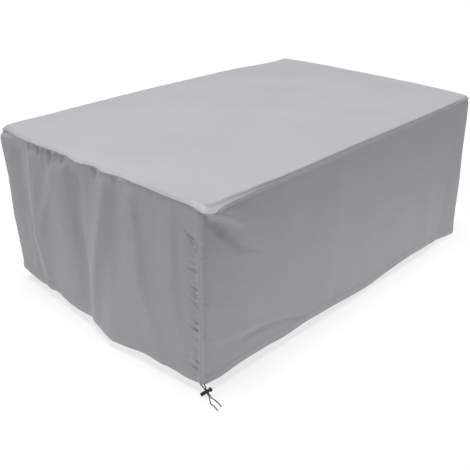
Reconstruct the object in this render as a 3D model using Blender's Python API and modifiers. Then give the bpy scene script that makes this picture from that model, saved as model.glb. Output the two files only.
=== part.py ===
"""Patio furniture cover: a loose rectangular cover of coated silver-grey cloth, draped over a long low block
of garden furniture. Five sewn panels (a top and four sides), each side with its hem turned up on its lower edge.
A black drawcord runs in the hem, and its two free ends come out at one corner, through a press-button cord lock.

Frame: metres, +Z up. X runs along the long sides and Y across. The origin is under the middle of the top panel,
on the face that rests on the furniture. A side is described from outside, with s measured in metres from its
left corner and z downwards from the top.
"""

import math
from collections import namedtuple

import bmesh
import bpy
import numpy as np
from mathutils import Matrix, Vector

# ---------------------------------------------------------------- driving dimensions (m)
LENGTH = 2.13          # top, along X
WIDTH = 1.32           # top, along Y
CLOTH = 0.002          # sheet thickness
CLEAR = 0.0003         # gap between pieces that touch
SEAM_GAP = 0.0009      # gap between sewn panels
SHOULDER = 0.030       # width of the soft rounded border of the top
RIM_DROP = 0.008       # how far the border falls to the seam
CORNER_DROP = 0.006    # how much further it falls at the corners
CORNER_SOFT = 0.070    # length over which a corner softens
FLOOR_Z = -0.810       # the ground that the cord ends lie on

CORD_D = 0.0045        # drawcord diameter
CORD_STEP = 0.0095     # spacing of the points along a cord

# Cord lock: along its own axis, 0 is where the two cords cross it and + runs towards the button
LOCK_R = 0.0075
LOCK_END = -0.0285
LOCK_RIM = 0.0090
BORE_R = 0.00535
BORE_END = -0.0200
HOLE_AXIAL = 0.0102    # the cords' hole through the barrel
HOLE_ACROSS = 0.0056
STEM_R = 0.0050
STEM_END = -0.0095
SLOT_BACK = -0.00495   # the wall of the plunger's slot that holds the cords
SLOT_FRONT = 0.0089
SLOT_ACROSS = 0.0052
BUTTON_R = 0.0090
BUTTON_FOOT = 0.0134
BUTTON_TOP = 0.0227
STROKE = 0.0040

LOCK_CENTRE = Vector((-1.0660, -0.6758, -0.7862))
LOCK_AXIS = Vector((0.617, -0.568, 0.545)).normalized()
CORD_FALL = Vector((0.024, -0.551, -0.833))

# ---------------------------------------------------------------- the drape, as short tables
# sx, sy: which corner.  in_x, in_y: how far its hem point moves off the top corner.  drop: top to hem.
Corner = namedtuple("Corner", "sx sy in_x in_y drop")
CORNERS = {
    "near": Corner(-1, -1, 0.000, 0.000, 0.764),
    "right": Corner(1, -1, -0.060, -0.060, 0.806),
    "rear": Corner(1, 1, -0.012, 0.024, 0.782),
    "left": Corner(-1, 1, 0.040, -0.020, 0.748),
}

# A side runs from its left corner to its right corner, seen from outside.
Side = namedtuple("Side", "left right out_x out_y long")
SIDES = {
    "side_left": Side("left", "near", -1, 0, False),
    "side_front": Side("near", "right", 0, -1, True),
    "side_right": Side("right", "rear", 1, 0, False),
    "side_back": Side("rear", "left", 0, 1, True),
}

# The line of the hem: at s it stands `out` from the straight line between its corners, `low` below it.
Hem = namedtuple("Hem", "s out low")
HEMS = {
    "side_left": (
        Hem(0.00, 0.000, 0.000), Hem(0.05, 0.004, 0.008), Hem(0.10, 0.007, 0.015), Hem(0.15, 0.010, 0.019),
        Hem(0.20, 0.009, 0.018), Hem(0.25, 0.011, 0.014), Hem(0.31, 0.008, 0.006), Hem(0.37, 0.018, 0.010),
        Hem(0.44, 0.025, 0.015), Hem(0.50, 0.027, 0.013), Hem(0.56, 0.027, 0.007), Hem(0.62, 0.030, 0.000),
        Hem(0.70, 0.052, 0.007), Hem(0.79, 0.064, 0.013), Hem(0.88, 0.052, 0.012), Hem(0.97, 0.037, 0.003),
        Hem(1.08, 0.026, 0.002), Hem(1.16, 0.018, 0.001), Hem(1.24, 0.010, 0.005), Hem(1.30, 0.002, 0.001),
        Hem(1.32, 0.000, 0.000),
    ),
    "side_front": (
        Hem(0.00, 0.000, 0.000), Hem(0.10, 0.009, -0.002), Hem(0.22, 0.009, -0.012), Hem(0.36, 0.006, -0.011),
        Hem(0.48, 0.008, -0.008), Hem(0.70, 0.008, -0.017), Hem(0.82, 0.010, -0.015), Hem(1.00, 0.010, -0.008),
        Hem(1.14, 0.009, -0.003), Hem(1.28, 0.006, -0.009), Hem(1.44, 0.006, -0.022), Hem(1.62, 0.006, -0.032),
        Hem(1.74, 0.004, -0.032), Hem(1.86, 0.001, -0.023), Hem(1.98, 0.001, -0.015), Hem(2.06, 0.002, -0.010),
        Hem(2.13, 0.000, 0.000),
    ),
    "side_right": (
        Hem(0.00, 0.000, 0.000), Hem(0.20, 0.016, -0.010), Hem(0.42, 0.046, -0.004), Hem(0.58, 0.028, 0.004),
        Hem(0.80, 0.012, 0.000), Hem(1.02, 0.040, 0.006), Hem(1.20, 0.018, 0.004), Hem(1.32, 0.000, 0.000),
    ),
    "side_back": (
        Hem(0.00, 0.000, 0.000), Hem(0.22, 0.020, 0.004), Hem(0.50, 0.002, -0.006), Hem(0.85, 0.030, 0.006),
        Hem(1.15, 0.008, -0.002), Hem(1.48, 0.034, 0.006), Hem(1.80, 0.010, 0.002), Hem(2.13, 0.000, 0.000),
    ),
}

# A soft ridge (+) or trough (-) runs through three points of its side. hi, mid, lo: its height at each.
# left, right: how wide its two flanks are.
Fold = namedtuple("Fold", "side s0 z0 s1 z1 s2 z2 hi mid lo left right")
FOLDS = (
    # end with the deep folds
    Fold("side_left", 0.15, -0.05, 0.14, -0.36, 0.16, -0.70, -0.012, -0.014, -0.006, 0.10, 0.07),
    Fold("side_left", 0.27, -0.06, 0.22, -0.40, 0.25, -0.74, 0.010, 0.013, 0.010, 0.06, 0.13),
    Fold("side_left", 0.40, -0.14, 0.33, -0.28, 0.24, -0.44, 0.006, 0.006, 0.002, 0.05, 0.05),
    Fold("side_left", 0.46, -0.03, 0.45, -0.32, 0.48, -0.64, 0.014, 0.010, 0.004, 0.12, 0.08),
    Fold("side_left", 0.56, -0.03, 0.565, -0.36, 0.60, -0.72, -0.012, -0.017, -0.010, 0.07, 0.08),
    Fold("side_left", 0.77, -0.05, 0.71, -0.38, 0.64, -0.76, 0.012, 0.017, 0.008, 0.10, 0.07),
    Fold("side_left", 0.83, -0.10, 0.82, -0.38, 0.85, -0.62, -0.006, -0.010, -0.002, 0.06, 0.08),
    Fold("side_left", 0.93, -0.06, 0.965, -0.38, 1.09, -0.72, 0.008, 0.014, 0.006, 0.11, 0.045),
    Fold("side_left", 1.15, -0.08, 1.15, -0.34, 1.20, -0.66, 0.007, 0.010, 0.004, 0.10, 0.05),
    # long side, drawn tight, with a fan of creases from its upper left corner
    Fold("side_front", 0.01, -0.02, 0.17, -0.18, 0.50, -0.46, -0.012, -0.012, -0.001, 0.045, 0.060),
    Fold("side_front", 0.05, -0.02, 0.19, -0.09, 0.42, -0.20, 0.006, 0.006, 0.000, 0.045, 0.050),
    Fold("side_front", 0.10, -0.42, 0.28, -0.52, 0.52, -0.60, 0.002, 0.005, 0.000, 0.070, 0.080),
    Fold("side_front", 0.58, -0.14, 0.63, -0.25, 0.68, -0.36, -0.004, -0.006, -0.002, 0.120, 0.130),
    Fold("side_front", 0.86, -0.10, 0.85, -0.38, 0.80, -0.68, 0.002, 0.005, 0.004, 0.120, 0.090),
    Fold("side_front", 1.20, -0.52, 1.34, -0.44, 1.50, -0.36, 0.000, -0.005, 0.000, 0.090, 0.090),
    Fold("side_front", 1.60, -0.22, 1.72, -0.46, 1.74, -0.72, 0.001, 0.005, 0.006, 0.130, 0.100),
    Fold("side_front", 1.98, -0.30, 1.96, -0.55, 1.93, -0.78, -0.001, -0.006, -0.008, 0.090, 0.080),
    # far end
    Fold("side_right", 0.16, -0.05, 0.18, -0.40, 0.20, -0.76, 0.008, 0.012, 0.008, 0.08, 0.10),
    Fold("side_right", 0.34, -0.06, 0.31, -0.38, 0.28, -0.74, -0.008, -0.012, -0.006, 0.08, 0.07),
    Fold("side_right", 0.50, -0.05, 0.47, -0.40, 0.41, -0.76, 0.010, 0.016, 0.010, 0.07, 0.11),
    Fold("side_right", 0.70, -0.08, 0.72, -0.40, 0.74, -0.70, -0.006, -0.012, -0.006, 0.09, 0.08),
    Fold("side_right", 0.90, -0.05, 0.93, -0.38, 1.02, -0.74, 0.010, 0.014, 0.010, 0.10, 0.07),
    Fold("side_right", 1.14, -0.06, 1.16, -0.36, 1.17, -0.68, -0.006, -0.010, -0.004, 0.07, 0.07),
    # long side at the back
    Fold("side_back", 0.24, -0.06, 0.23, -0.40, 0.20, -0.74, 0.006, 0.010, 0.006, 0.10, 0.08),
    Fold("side_back", 0.52, -0.08, 0.50, -0.40, 0.49, -0.70, -0.004, -0.010, -0.006, 0.11, 0.10),
    Fold("side_back", 0.78, -0.05, 0.82, -0.40, 0.86, -0.76, 0.006, 0.012, 0.008, 0.12, 0.08),
    Fold("side_back", 1.16, -0.10, 1.15, -0.42, 1.14, -0.70, -0.002, -0.008, -0.006, 0.13, 0.11),
    Fold("side_back", 1.40, -0.05, 1.45, -0.40, 1.50, -0.74, 0.005, 0.012, 0.010, 0.11, 0.09),
    Fold("side_back", 1.98, -0.03, 1.84, -0.22, 1.62, -0.44, -0.008, -0.010, 0.000, 0.07, 0.06),
)

# The two cord ends, from the hem at the near corner down to the ground and along it: the place of each point
# and its height over the ground. Between rows the cord is one smooth curve.
CordPoint = namedtuple("CordPoint", "x y up")
GROUND = CORD_D / 2 + CLEAR
CORD_TAILS = {
    "drawcord_right": (
        CordPoint(-1.0626, -0.6978, GROUND), CordPoint(-1.0619, -0.7108, GROUND), CordPoint(-1.0643, -0.7257, GROUND),
        CordPoint(-1.0665, -0.7397, GROUND), CordPoint(-1.0714, -0.7536, GROUND), CordPoint(-1.0752, -0.7611, GROUND),
    ),
    "drawcord_left": (
        CordPoint(-1.0702, -0.6951, GROUND), CordPoint(-1.0785, -0.7048, GROUND), CordPoint(-1.0868, -0.7155, GROUND),
        CordPoint(-1.0902, -0.7256, GROUND), CordPoint(-1.0906, -0.7346, GROUND), CordPoint(-1.0926, -0.7448, GROUND),
        CordPoint(-1.0964, -0.7561, GROUND), CordPoint(-1.0997, -0.7669, GROUND),
    ),
}


# ---------------------------------------------------------------- shape functions
def smooth(x):
    x = np.clip(x, 0.0, 1.0)
    return x * x * (3 - 2 * x)


def through(xs, ys, x):
    """A smooth curve through the points (xs, ys), read at x."""
    xs, ys, x = np.asarray(xs, float), np.asarray(ys, float), np.asarray(x, float)
    slope = np.gradient(ys, xs)
    slope[0] = slope[-1] = 0.0
    k = np.clip(np.searchsorted(xs, x) - 1, 0, len(xs) - 2)
    h = xs[k + 1] - xs[k]
    u = np.clip((x - xs[k]) / h, 0.0, 1.0)
    return (
        (1 + 2 * u) * (1 - u) ** 2 * ys[k]
        + u * (1 - u) ** 2 * h * slope[k]
        + u * u * (3 - 2 * u) * ys[k + 1]
        + u * u * (u - 1) * h * slope[k + 1]
    )


def three_points(a, b, c, u):
    """The parabola that is a at 0, b at a half and c at 1."""
    return a * (1 - u) * (1 - 2 * u) + b * 4 * u * (1 - u) + c * u * (2 * u - 1)


def fold_height(fold, s, z, pieces=14):
    """How far the cloth stands out at (s, z) because of one fold: a soft ridge along the fold's line."""
    u = np.linspace(0, 1, pieces + 1)
    ps, pz = three_points(fold.s0, fold.s1, fold.s2, u), three_points(fold.z0, fold.z1, fold.z2, u)
    best = np.full(s.shape, 1e9)
    at = np.zeros(s.shape)
    side = np.zeros(s.shape)
    for i in range(pieces):
        ts, tz = ps[i + 1] - ps[i], pz[i + 1] - pz[i]
        run = ts * ts + tz * tz
        k = np.clip(((s - ps[i]) * ts + (z - pz[i]) * tz) / run, 0, 1)
        ds, dz = s - ps[i] - k * ts, z - pz[i] - k * tz
        d = np.hypot(ds, dz)
        near = d < best
        best = np.where(near, d, best)
        at = np.where(near, (i + k) / pieces, at)
        side = np.where(near, ts * dz - tz * ds, side)
    flank = np.where(side > 0, fold.right, fold.left)
    height = np.interp(at, (0, 0.5, 1), (fold.hi, fold.mid, fold.lo))
    return height * 0.5 * (1 + np.cos(math.pi * np.clip(best / flank, 0, 1)))


def side_length(side):
    return LENGTH if SIDES[side].long else WIDTH


def rim_z(to_corner):
    """Height of the seam round the top, at a distance from the nearest corner."""
    return -RIM_DROP - CORNER_DROP * (1 - smooth(to_corner / CORNER_SOFT))


def corner_at(name, t):
    """Plan position of a corner seam, from the top (t = 0) to the hem (t = 1)."""
    c = CORNERS[name]
    lean = t ** 1.4
    return c.sx * LENGTH / 2 + c.in_x * lean, c.sy * WIDTH / 2 + c.in_y * lean


def side_point(name, s, t):
    """The outer face of a side, at s along it and t of the way from its top edge to its hem."""
    side, length = SIDES[name], side_length(name)
    f = s / length
    ax, ay = corner_at(side.left, t)
    bx, by = corner_at(side.right, t)
    rows = HEMS[name]
    hem_out = through([r.s for r in rows], [r.out for r in rows], s)
    hem_low = through([r.s for r in rows], [r.low for r in rows], s)
    drop = CORNERS[side.left].drop * (1 - f) + CORNERS[side.right].drop * f + hem_low
    top = rim_z(np.minimum(s, length - s)) - CLOTH - SEAM_GAP
    z = top + (-drop - top) * t
    out = np.zeros(np.broadcast(s, t).shape)
    for fold in FOLDS:
        if fold.side == name:
            out = out + fold_height(fold, s + 0 * t, z)
    out = out * smooth(np.minimum(s, length - s) / 0.06) * smooth((top - z) / 0.07)
    out = out + hem_out * t ** 1.7
    x = ax + (bx - ax) * f + side.out_x * out
    y = ay + (by - ay) * f + side.out_y * out
    return x, y, z


def top_point(x, y):
    """The outer face of the top, flat but for its soft border."""
    dx, dy = LENGTH / 2 - np.abs(x), WIDTH / 2 - np.abs(y)
    fx = np.clip(1 - dx / SHOULDER, 0, 1) ** 2
    fy = np.clip(1 - dy / SHOULDER, 0, 1) ** 2
    near = np.hypot(dx, dy)
    fall = 1 - (1 - fx) * (1 - fy)
    return CLOTH + (rim_z(near) - CLOTH) * fall


# ---------------------------------------------------------------- building
collection = bpy.data.collections.new("patio_furniture_cover")
cutters = bpy.data.collections.new("cutters")


def material(name, colour, roughness, metallic=0.0):
    m = bpy.data.materials.new(name)
    m.use_nodes = True
    shader = m.node_tree.nodes["Principled BSDF"]
    shader.inputs["Base Color"].default_value = (*colour, 1)
    shader.inputs["Roughness"].default_value = roughness
    shader.inputs["Metallic"].default_value = metallic
    return m


def add(name, mesh, mat=None):
    obj = bpy.data.objects.new(name, mesh)
    collection.objects.link(obj)
    if mat:
        mesh.materials.append(mat)
    return obj


def grid_sheet(name, columns, rows, place, mat):
    """A sheet: a grid whose corner points are moved by `place`, then given the cloth's thickness inwards."""
    bm = bmesh.new()
    bmesh.ops.create_grid(bm, x_segments=columns, y_segments=rows, size=0.5)
    for vertex in bm.verts:
        vertex.co = place(vertex.co.x + 0.5, vertex.co.y + 0.5)
    mesh = bpy.data.meshes.new(name)
    bm.to_mesh(mesh)
    bm.free()
    mesh.shade_smooth()
    obj = add(name, mesh, mat)
    thick = obj.modifiers.new("thickness", "SOLIDIFY")
    thick.thickness = CLOTH
    thick.offset = -1
    thick.use_even_offset = True
    thick.use_quality_normals = True
    return obj


def spread(a, size, lines, border=CORNER_SOFT, at_end=3):
    """Where grid line a (0 to 1) of `lines` steps lies: three closer steps at each end, even ones between."""
    k = round(a * lines)
    if k < at_end:
        return border * (k / at_end) ** 1.6
    if k > lines - at_end:
        return size - border * ((lines - k) / at_end) ** 1.6
    return border + (size - 2 * border) * (k - at_end) / (lines - 2 * at_end)


def build_top(mat):
    columns, rows = 14, 12

    def place(a, b):
        x = spread(a, LENGTH, columns) - LENGTH / 2
        y = spread(b, WIDTH, rows) - WIDTH / 2
        return x, y, float(top_point(x, y))

    return grid_sheet("top_panel", columns, rows, place, mat)


def build_side(name, columns, rows, mat):
    length = side_length(name)
    inset = 0.0 if SIDES[name].long else CLOTH + SEAM_GAP

    def place(a, b):
        s = inset + spread(a, length, columns) * (length - 2 * inset) / length
        t = (1 - b) ** 1.12
        return [float(v) for v in side_point(name, np.float64(s), np.float64(t))]

    return grid_sheet(name, columns, rows, place, mat)


def turned(name, profile, segments, mat):
    """A closed turned piece on local Z: its half profile, from the top of its axis down its outside, spun round."""
    mesh = bpy.data.meshes.new(name)
    mesh.from_pydata([(r, 0, z) for r, z in profile], [(i, i + 1) for i in range(len(profile) - 1)], [])
    obj = add(name, mesh, mat)
    spin = obj.modifiers.new("spin", "SCREW")
    spin.steps = spin.render_steps = segments
    spin.use_merge_vertices = True
    spin.merge_threshold = 0.00001
    spin.use_normal_calculate = False
    return obj


def arc(cx, cz, r, start, end, steps):
    """Points of a quarter round, in (radius, height)."""
    return [
        (cx + r * math.cos(math.radians(start + (end - start) * i / steps)),
         cz + r * math.sin(math.radians(start + (end - start) * i / steps)))
        for i in range(steps + 1)
    ]


def cut(obj, cutter):
    cutter.hide_render = True
    cutter.display_type = "WIRE"
    boolean = obj.modifiers.new("cut " + cutter.name, "BOOLEAN")
    boolean.operation = "DIFFERENCE"
    boolean.object = cutter
    boolean.solver = "EXACT"


def box_cutter(name, low, high, frame, soft=0.0):
    bm = bmesh.new()
    bmesh.ops.create_cube(bm, size=1)
    for vertex in bm.verts:
        vertex.co = Vector([low[i] + (vertex.co[i] + 0.5) * (high[i] - low[i]) for i in range(3)])
    mesh = bpy.data.meshes.new(name)
    bm.to_mesh(mesh)
    bm.free()
    obj = bpy.data.objects.new(name, mesh)
    cutters.objects.link(obj)
    obj.matrix_world = frame
    if soft:
        bevel = obj.modifiers.new("round", "BEVEL")
        bevel.width = soft
        bevel.segments = 2
        bevel.limit_method = "ANGLE"
    return obj


def lock_frame():
    """Local Z along the lock's axis, local Y along the cords' way through it."""
    z = LOCK_AXIS
    y = (CORD_FALL - CORD_FALL.dot(z) * z).normalized()
    x = y.cross(z)
    frame = Matrix((x, y, z)).transposed().to_4x4()
    frame.translation = LOCK_CENTRE
    return frame


def build_lock(mat):
    frame = lock_frame()
    outside = (
        arc(LOCK_R - 0.0008, LOCK_RIM - 0.0008, 0.0008, 90, 0, 2)
        + arc(LOCK_R - 0.0040, LOCK_END + 0.0040, 0.0040, 0, -90, 4)
        + [(0, LOCK_END)]
    )
    inside = [(0, BORE_END), (BORE_R, BORE_END), (BORE_R, LOCK_RIM)]
    barrel = turned("lock_barrel", inside + outside, 32, mat)
    barrel.matrix_world = frame
    hole = box_cutter(
        "cord_hole", (-HOLE_ACROSS / 2, -0.012, -HOLE_AXIAL / 2), (HOLE_ACROSS / 2, 0.012, HOLE_AXIAL / 2), frame
    )
    cut(barrel, hole)

    button = (
        [(0, BUTTON_TOP)]
        + arc(BUTTON_R - 0.0025, BUTTON_TOP - 0.0025, 0.0025, 90, 0, 3)
        + arc(BUTTON_R - 0.0012, BUTTON_FOOT + 0.0012, 0.0012, 0, -90, 2)
        + [(STEM_R, BUTTON_FOOT), (STEM_R, STEM_END), (0, STEM_END)]
    )
    plunger = turned("lock_plunger", button, 32, mat)
    plunger.matrix_world = frame
    slot = box_cutter(
        "stem_slot", (-SLOT_ACROSS / 2, -0.010, SLOT_BACK), (SLOT_ACROSS / 2, 0.010, SLOT_FRONT), frame
    )
    cut(plunger, slot)
    return barrel, plunger


def smooth_route(points, step):
    """Evenly spaced points on a Catmull-Rom curve through the route's own points."""
    ends = [2 * points[0] - points[1]] + points + [2 * points[-1] - points[-2]]
    fine = []
    for a, b, c, d in zip(ends, ends[1:], ends[2:], ends[3:]):
        for k in range(12):
            u = k / 12
            fine.append(0.5 * ((2 * b) + (c - a) * u + (2 * a - 5 * b + 4 * c - d) * u * u + (3 * b - a - 3 * c + d) * u ** 3))
    fine.append(points[-1])
    fine = np.array([tuple(p) for p in fine])
    run = np.concatenate([[0], np.cumsum(np.linalg.norm(np.diff(fine, axis=0), axis=1))])
    at = np.linspace(0, run[-1], max(4, round(run[-1] / step)) + 1)
    return [Vector([float(np.interp(a, run, fine[:, i])) for i in range(3)]) for a in at]


def cord_route(name):
    """Out under the hem at the near corner, side by side through the lock, then apart along the ground."""
    right = name == "drawcord_right"
    frame = lock_frame()
    fall = frame.to_3x3() @ Vector((0, 1, 0))
    beside = LOCK_AXIS * (CORD_D + CLEAR) / 2 * (1 if right else -1)
    corner = Vector((-LENGTH / 2, -WIDTH / 2, -CORNERS["near"].drop - CORD_D / 2 - 0.0008))
    leave = corner + (Vector((0.0062, 0.0045, 0.0)) if right else Vector((-0.0015, 0.0165, -0.0028)))
    bend = corner + (Vector((0.0020, -0.0060, -0.0050)) if right else Vector((-0.0030, 0.0010, -0.0060)))
    above = LOCK_CENTRE + beside - fall * 0.0125
    below = LOCK_CENTRE + beside + fall * 0.0125
    # below the lock the cords turn about each other, so that the left one lies nearer the ground's front
    turn = Vector((0.0030, -0.0010, 0.0008)) if right else Vector((-0.0036, -0.0012, -0.0006))
    landing = LOCK_CENTRE + fall * 0.0225 + turn
    landing.z = max(landing.z, FLOOR_Z + GROUND + 0.0022)
    tail = [Vector((p.x, p.y, FLOOR_Z + p.up)) for p in CORD_TAILS[name]]
    middle = LOCK_CENTRE + beside
    return smooth_route([leave, bend, above, middle, below, landing] + tail, CORD_STEP)


def build_cord(name, mat):
    curve = bpy.data.curves.new(name, "CURVE")
    curve.dimensions = "3D"
    curve.bevel_depth = CORD_D / 2
    curve.bevel_resolution = 3
    curve.use_fill_caps = True
    points = cord_route(name)
    line = curve.splines.new("POLY")
    line.points.add(len(points) - 1)
    for spot, p in zip(line.points, points):
        spot.co = (*p, 1)
    curve.materials.append(mat)
    obj = bpy.data.objects.new(name, curve)
    collection.objects.link(obj)
    return obj


def main():
    for obj in list(bpy.data.objects):
        bpy.data.objects.remove(obj, do_unlink=True)
    bpy.context.scene.collection.children.link(collection)
    bpy.context.scene.collection.children.link(cutters)
    cutters.hide_render = True

    build_top(material("cloth top", (0.50, 0.505, 0.52), 0.55))
    for name in SIDES:
        columns = 40 if SIDES[name].long else 32
        build_side(name, columns, 11, material("cloth " + name, (0.44, 0.445, 0.46), 0.55))
    barrel, plunger = build_lock(material("lock plastic", (0.012, 0.012, 0.013), 0.35))
    bpy.context.view_layer.update()
    for name in CORD_TAILS:
        build_cord(name, material(name, (0.010, 0.010, 0.011), 0.75))
    for obj in (barrel, plunger):
        obj.data.shade_smooth()


main()
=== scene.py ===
"""The looks of a patio furniture cover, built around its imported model.

Metres, +Z up, in the model's own frame: X along the long sides, Y across, the origin under the middle of the top.
Everything round the sides is described as on a pattern laid flat: `p` runs round the cover from the left corner,
past the near, right and rear corners, and `d` runs down from the seam of the top.
"""

import math
from collections import namedtuple

import bmesh
import bpy
import numpy as np
from mathutils import Matrix, Vector


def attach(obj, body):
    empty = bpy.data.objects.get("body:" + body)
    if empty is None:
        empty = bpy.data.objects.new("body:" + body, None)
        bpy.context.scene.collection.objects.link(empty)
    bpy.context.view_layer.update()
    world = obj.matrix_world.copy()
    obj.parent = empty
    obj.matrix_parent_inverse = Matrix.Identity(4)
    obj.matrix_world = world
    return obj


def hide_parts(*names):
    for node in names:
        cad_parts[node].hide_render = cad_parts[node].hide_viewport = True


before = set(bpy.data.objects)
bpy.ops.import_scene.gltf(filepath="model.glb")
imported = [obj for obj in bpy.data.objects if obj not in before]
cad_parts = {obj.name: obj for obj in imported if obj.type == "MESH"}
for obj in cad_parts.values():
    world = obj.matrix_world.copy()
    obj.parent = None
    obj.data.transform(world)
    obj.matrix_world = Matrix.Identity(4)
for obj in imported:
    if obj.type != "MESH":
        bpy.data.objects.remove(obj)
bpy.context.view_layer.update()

# ---------------------------------------------------------------- the model's own sizes (m)
LENGTH = 2.13
WIDTH = 1.32
CLOTH = 0.002
CLEAR = 0.0003
SEAM_GAP = 0.0009
SHOULDER = 0.030
RIM_DROP = 0.008
CORNER_DROP = 0.006
CORNER_SOFT = 0.070
FLOOR_Z = -0.810

CORD_D = 0.0045

LOCK_R = 0.0075
LOCK_END = -0.0285
LOCK_RIM = 0.0090
BORE_R = 0.00535
BORE_END = -0.0200
HOLE_AXIAL = 0.0102
HOLE_ACROSS = 0.0056
STEM_R = 0.0050
STEM_END = -0.0095
SLOT_BACK = -0.00495
SLOT_FRONT = 0.0089
SLOT_ACROSS = 0.0052
BUTTON_R = 0.0090
BUTTON_FOOT = 0.0134
BUTTON_TOP = 0.0227

LOCK_CENTRE = Vector((-1.0660, -0.6758, -0.7862))
LOCK_AXIS = Vector((0.617, -0.568, 0.545)).normalized()
CORD_FALL = Vector((0.024, -0.551, -0.833))

Corner = namedtuple("Corner", "sx sy in_x in_y drop")
CORNERS = {
    "near": Corner(-1, -1, 0.000, 0.000, 0.764),
    "right": Corner(1, -1, -0.060, -0.060, 0.806),
    "rear": Corner(1, 1, -0.012, 0.024, 0.782),
    "left": Corner(-1, 1, 0.040, -0.020, 0.748),
}

Side = namedtuple("Side", "left right out_x out_y long")
SIDES = {
    "side_left": Side("left", "near", -1, 0, False),
    "side_front": Side("near", "right", 0, -1, True),
    "side_right": Side("right", "rear", 1, 0, False),
    "side_back": Side("rear", "left", 0, 1, True),
}

Hem = namedtuple("Hem", "s out low")
HEMS = {
    "side_left": (
        Hem(0.00, 0.000, 0.000), Hem(0.05, 0.004, 0.008), Hem(0.10, 0.007, 0.015), Hem(0.15, 0.010, 0.019),
        Hem(0.20, 0.009, 0.018), Hem(0.25, 0.011, 0.014), Hem(0.31, 0.008, 0.006), Hem(0.37, 0.018, 0.010),
        Hem(0.44, 0.025, 0.015), Hem(0.50, 0.027, 0.013), Hem(0.56, 0.027, 0.007), Hem(0.62, 0.030, 0.000),
        Hem(0.70, 0.052, 0.007), Hem(0.79, 0.064, 0.013), Hem(0.88, 0.052, 0.012), Hem(0.97, 0.037, 0.003),
        Hem(1.08, 0.026, 0.002), Hem(1.16, 0.018, 0.001), Hem(1.24, 0.010, 0.005), Hem(1.30, 0.002, 0.001),
        Hem(1.32, 0.000, 0.000),
    ),
    "side_front": (
        Hem(0.00, 0.000, 0.000), Hem(0.10, 0.009, -0.002), Hem(0.22, 0.009, -0.012), Hem(0.36, 0.006, -0.011),
        Hem(0.48, 0.008, -0.008), Hem(0.70, 0.008, -0.017), Hem(0.82, 0.010, -0.015), Hem(1.00, 0.010, -0.008),
        Hem(1.14, 0.009, -0.003), Hem(1.28, 0.006, -0.009), Hem(1.44, 0.006, -0.022), Hem(1.62, 0.006, -0.032),
        Hem(1.74, 0.004, -0.032), Hem(1.86, 0.001, -0.023), Hem(1.98, 0.001, -0.015), Hem(2.06, 0.002, -0.010),
        Hem(2.13, 0.000, 0.000),
    ),
    "side_right": (
        Hem(0.00, 0.000, 0.000), Hem(0.20, 0.016, -0.010), Hem(0.42, 0.046, -0.004), Hem(0.58, 0.028, 0.004),
        Hem(0.80, 0.012, 0.000), Hem(1.02, 0.040, 0.006), Hem(1.20, 0.018, 0.004), Hem(1.32, 0.000, 0.000),
    ),
    "side_back": (
        Hem(0.00, 0.000, 0.000), Hem(0.22, 0.020, 0.004), Hem(0.50, 0.002, -0.006), Hem(0.85, 0.030, 0.006),
        Hem(1.15, 0.008, -0.002), Hem(1.48, 0.034, 0.006), Hem(1.80, 0.010, 0.002), Hem(2.13, 0.000, 0.000),
    ),
}

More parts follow.
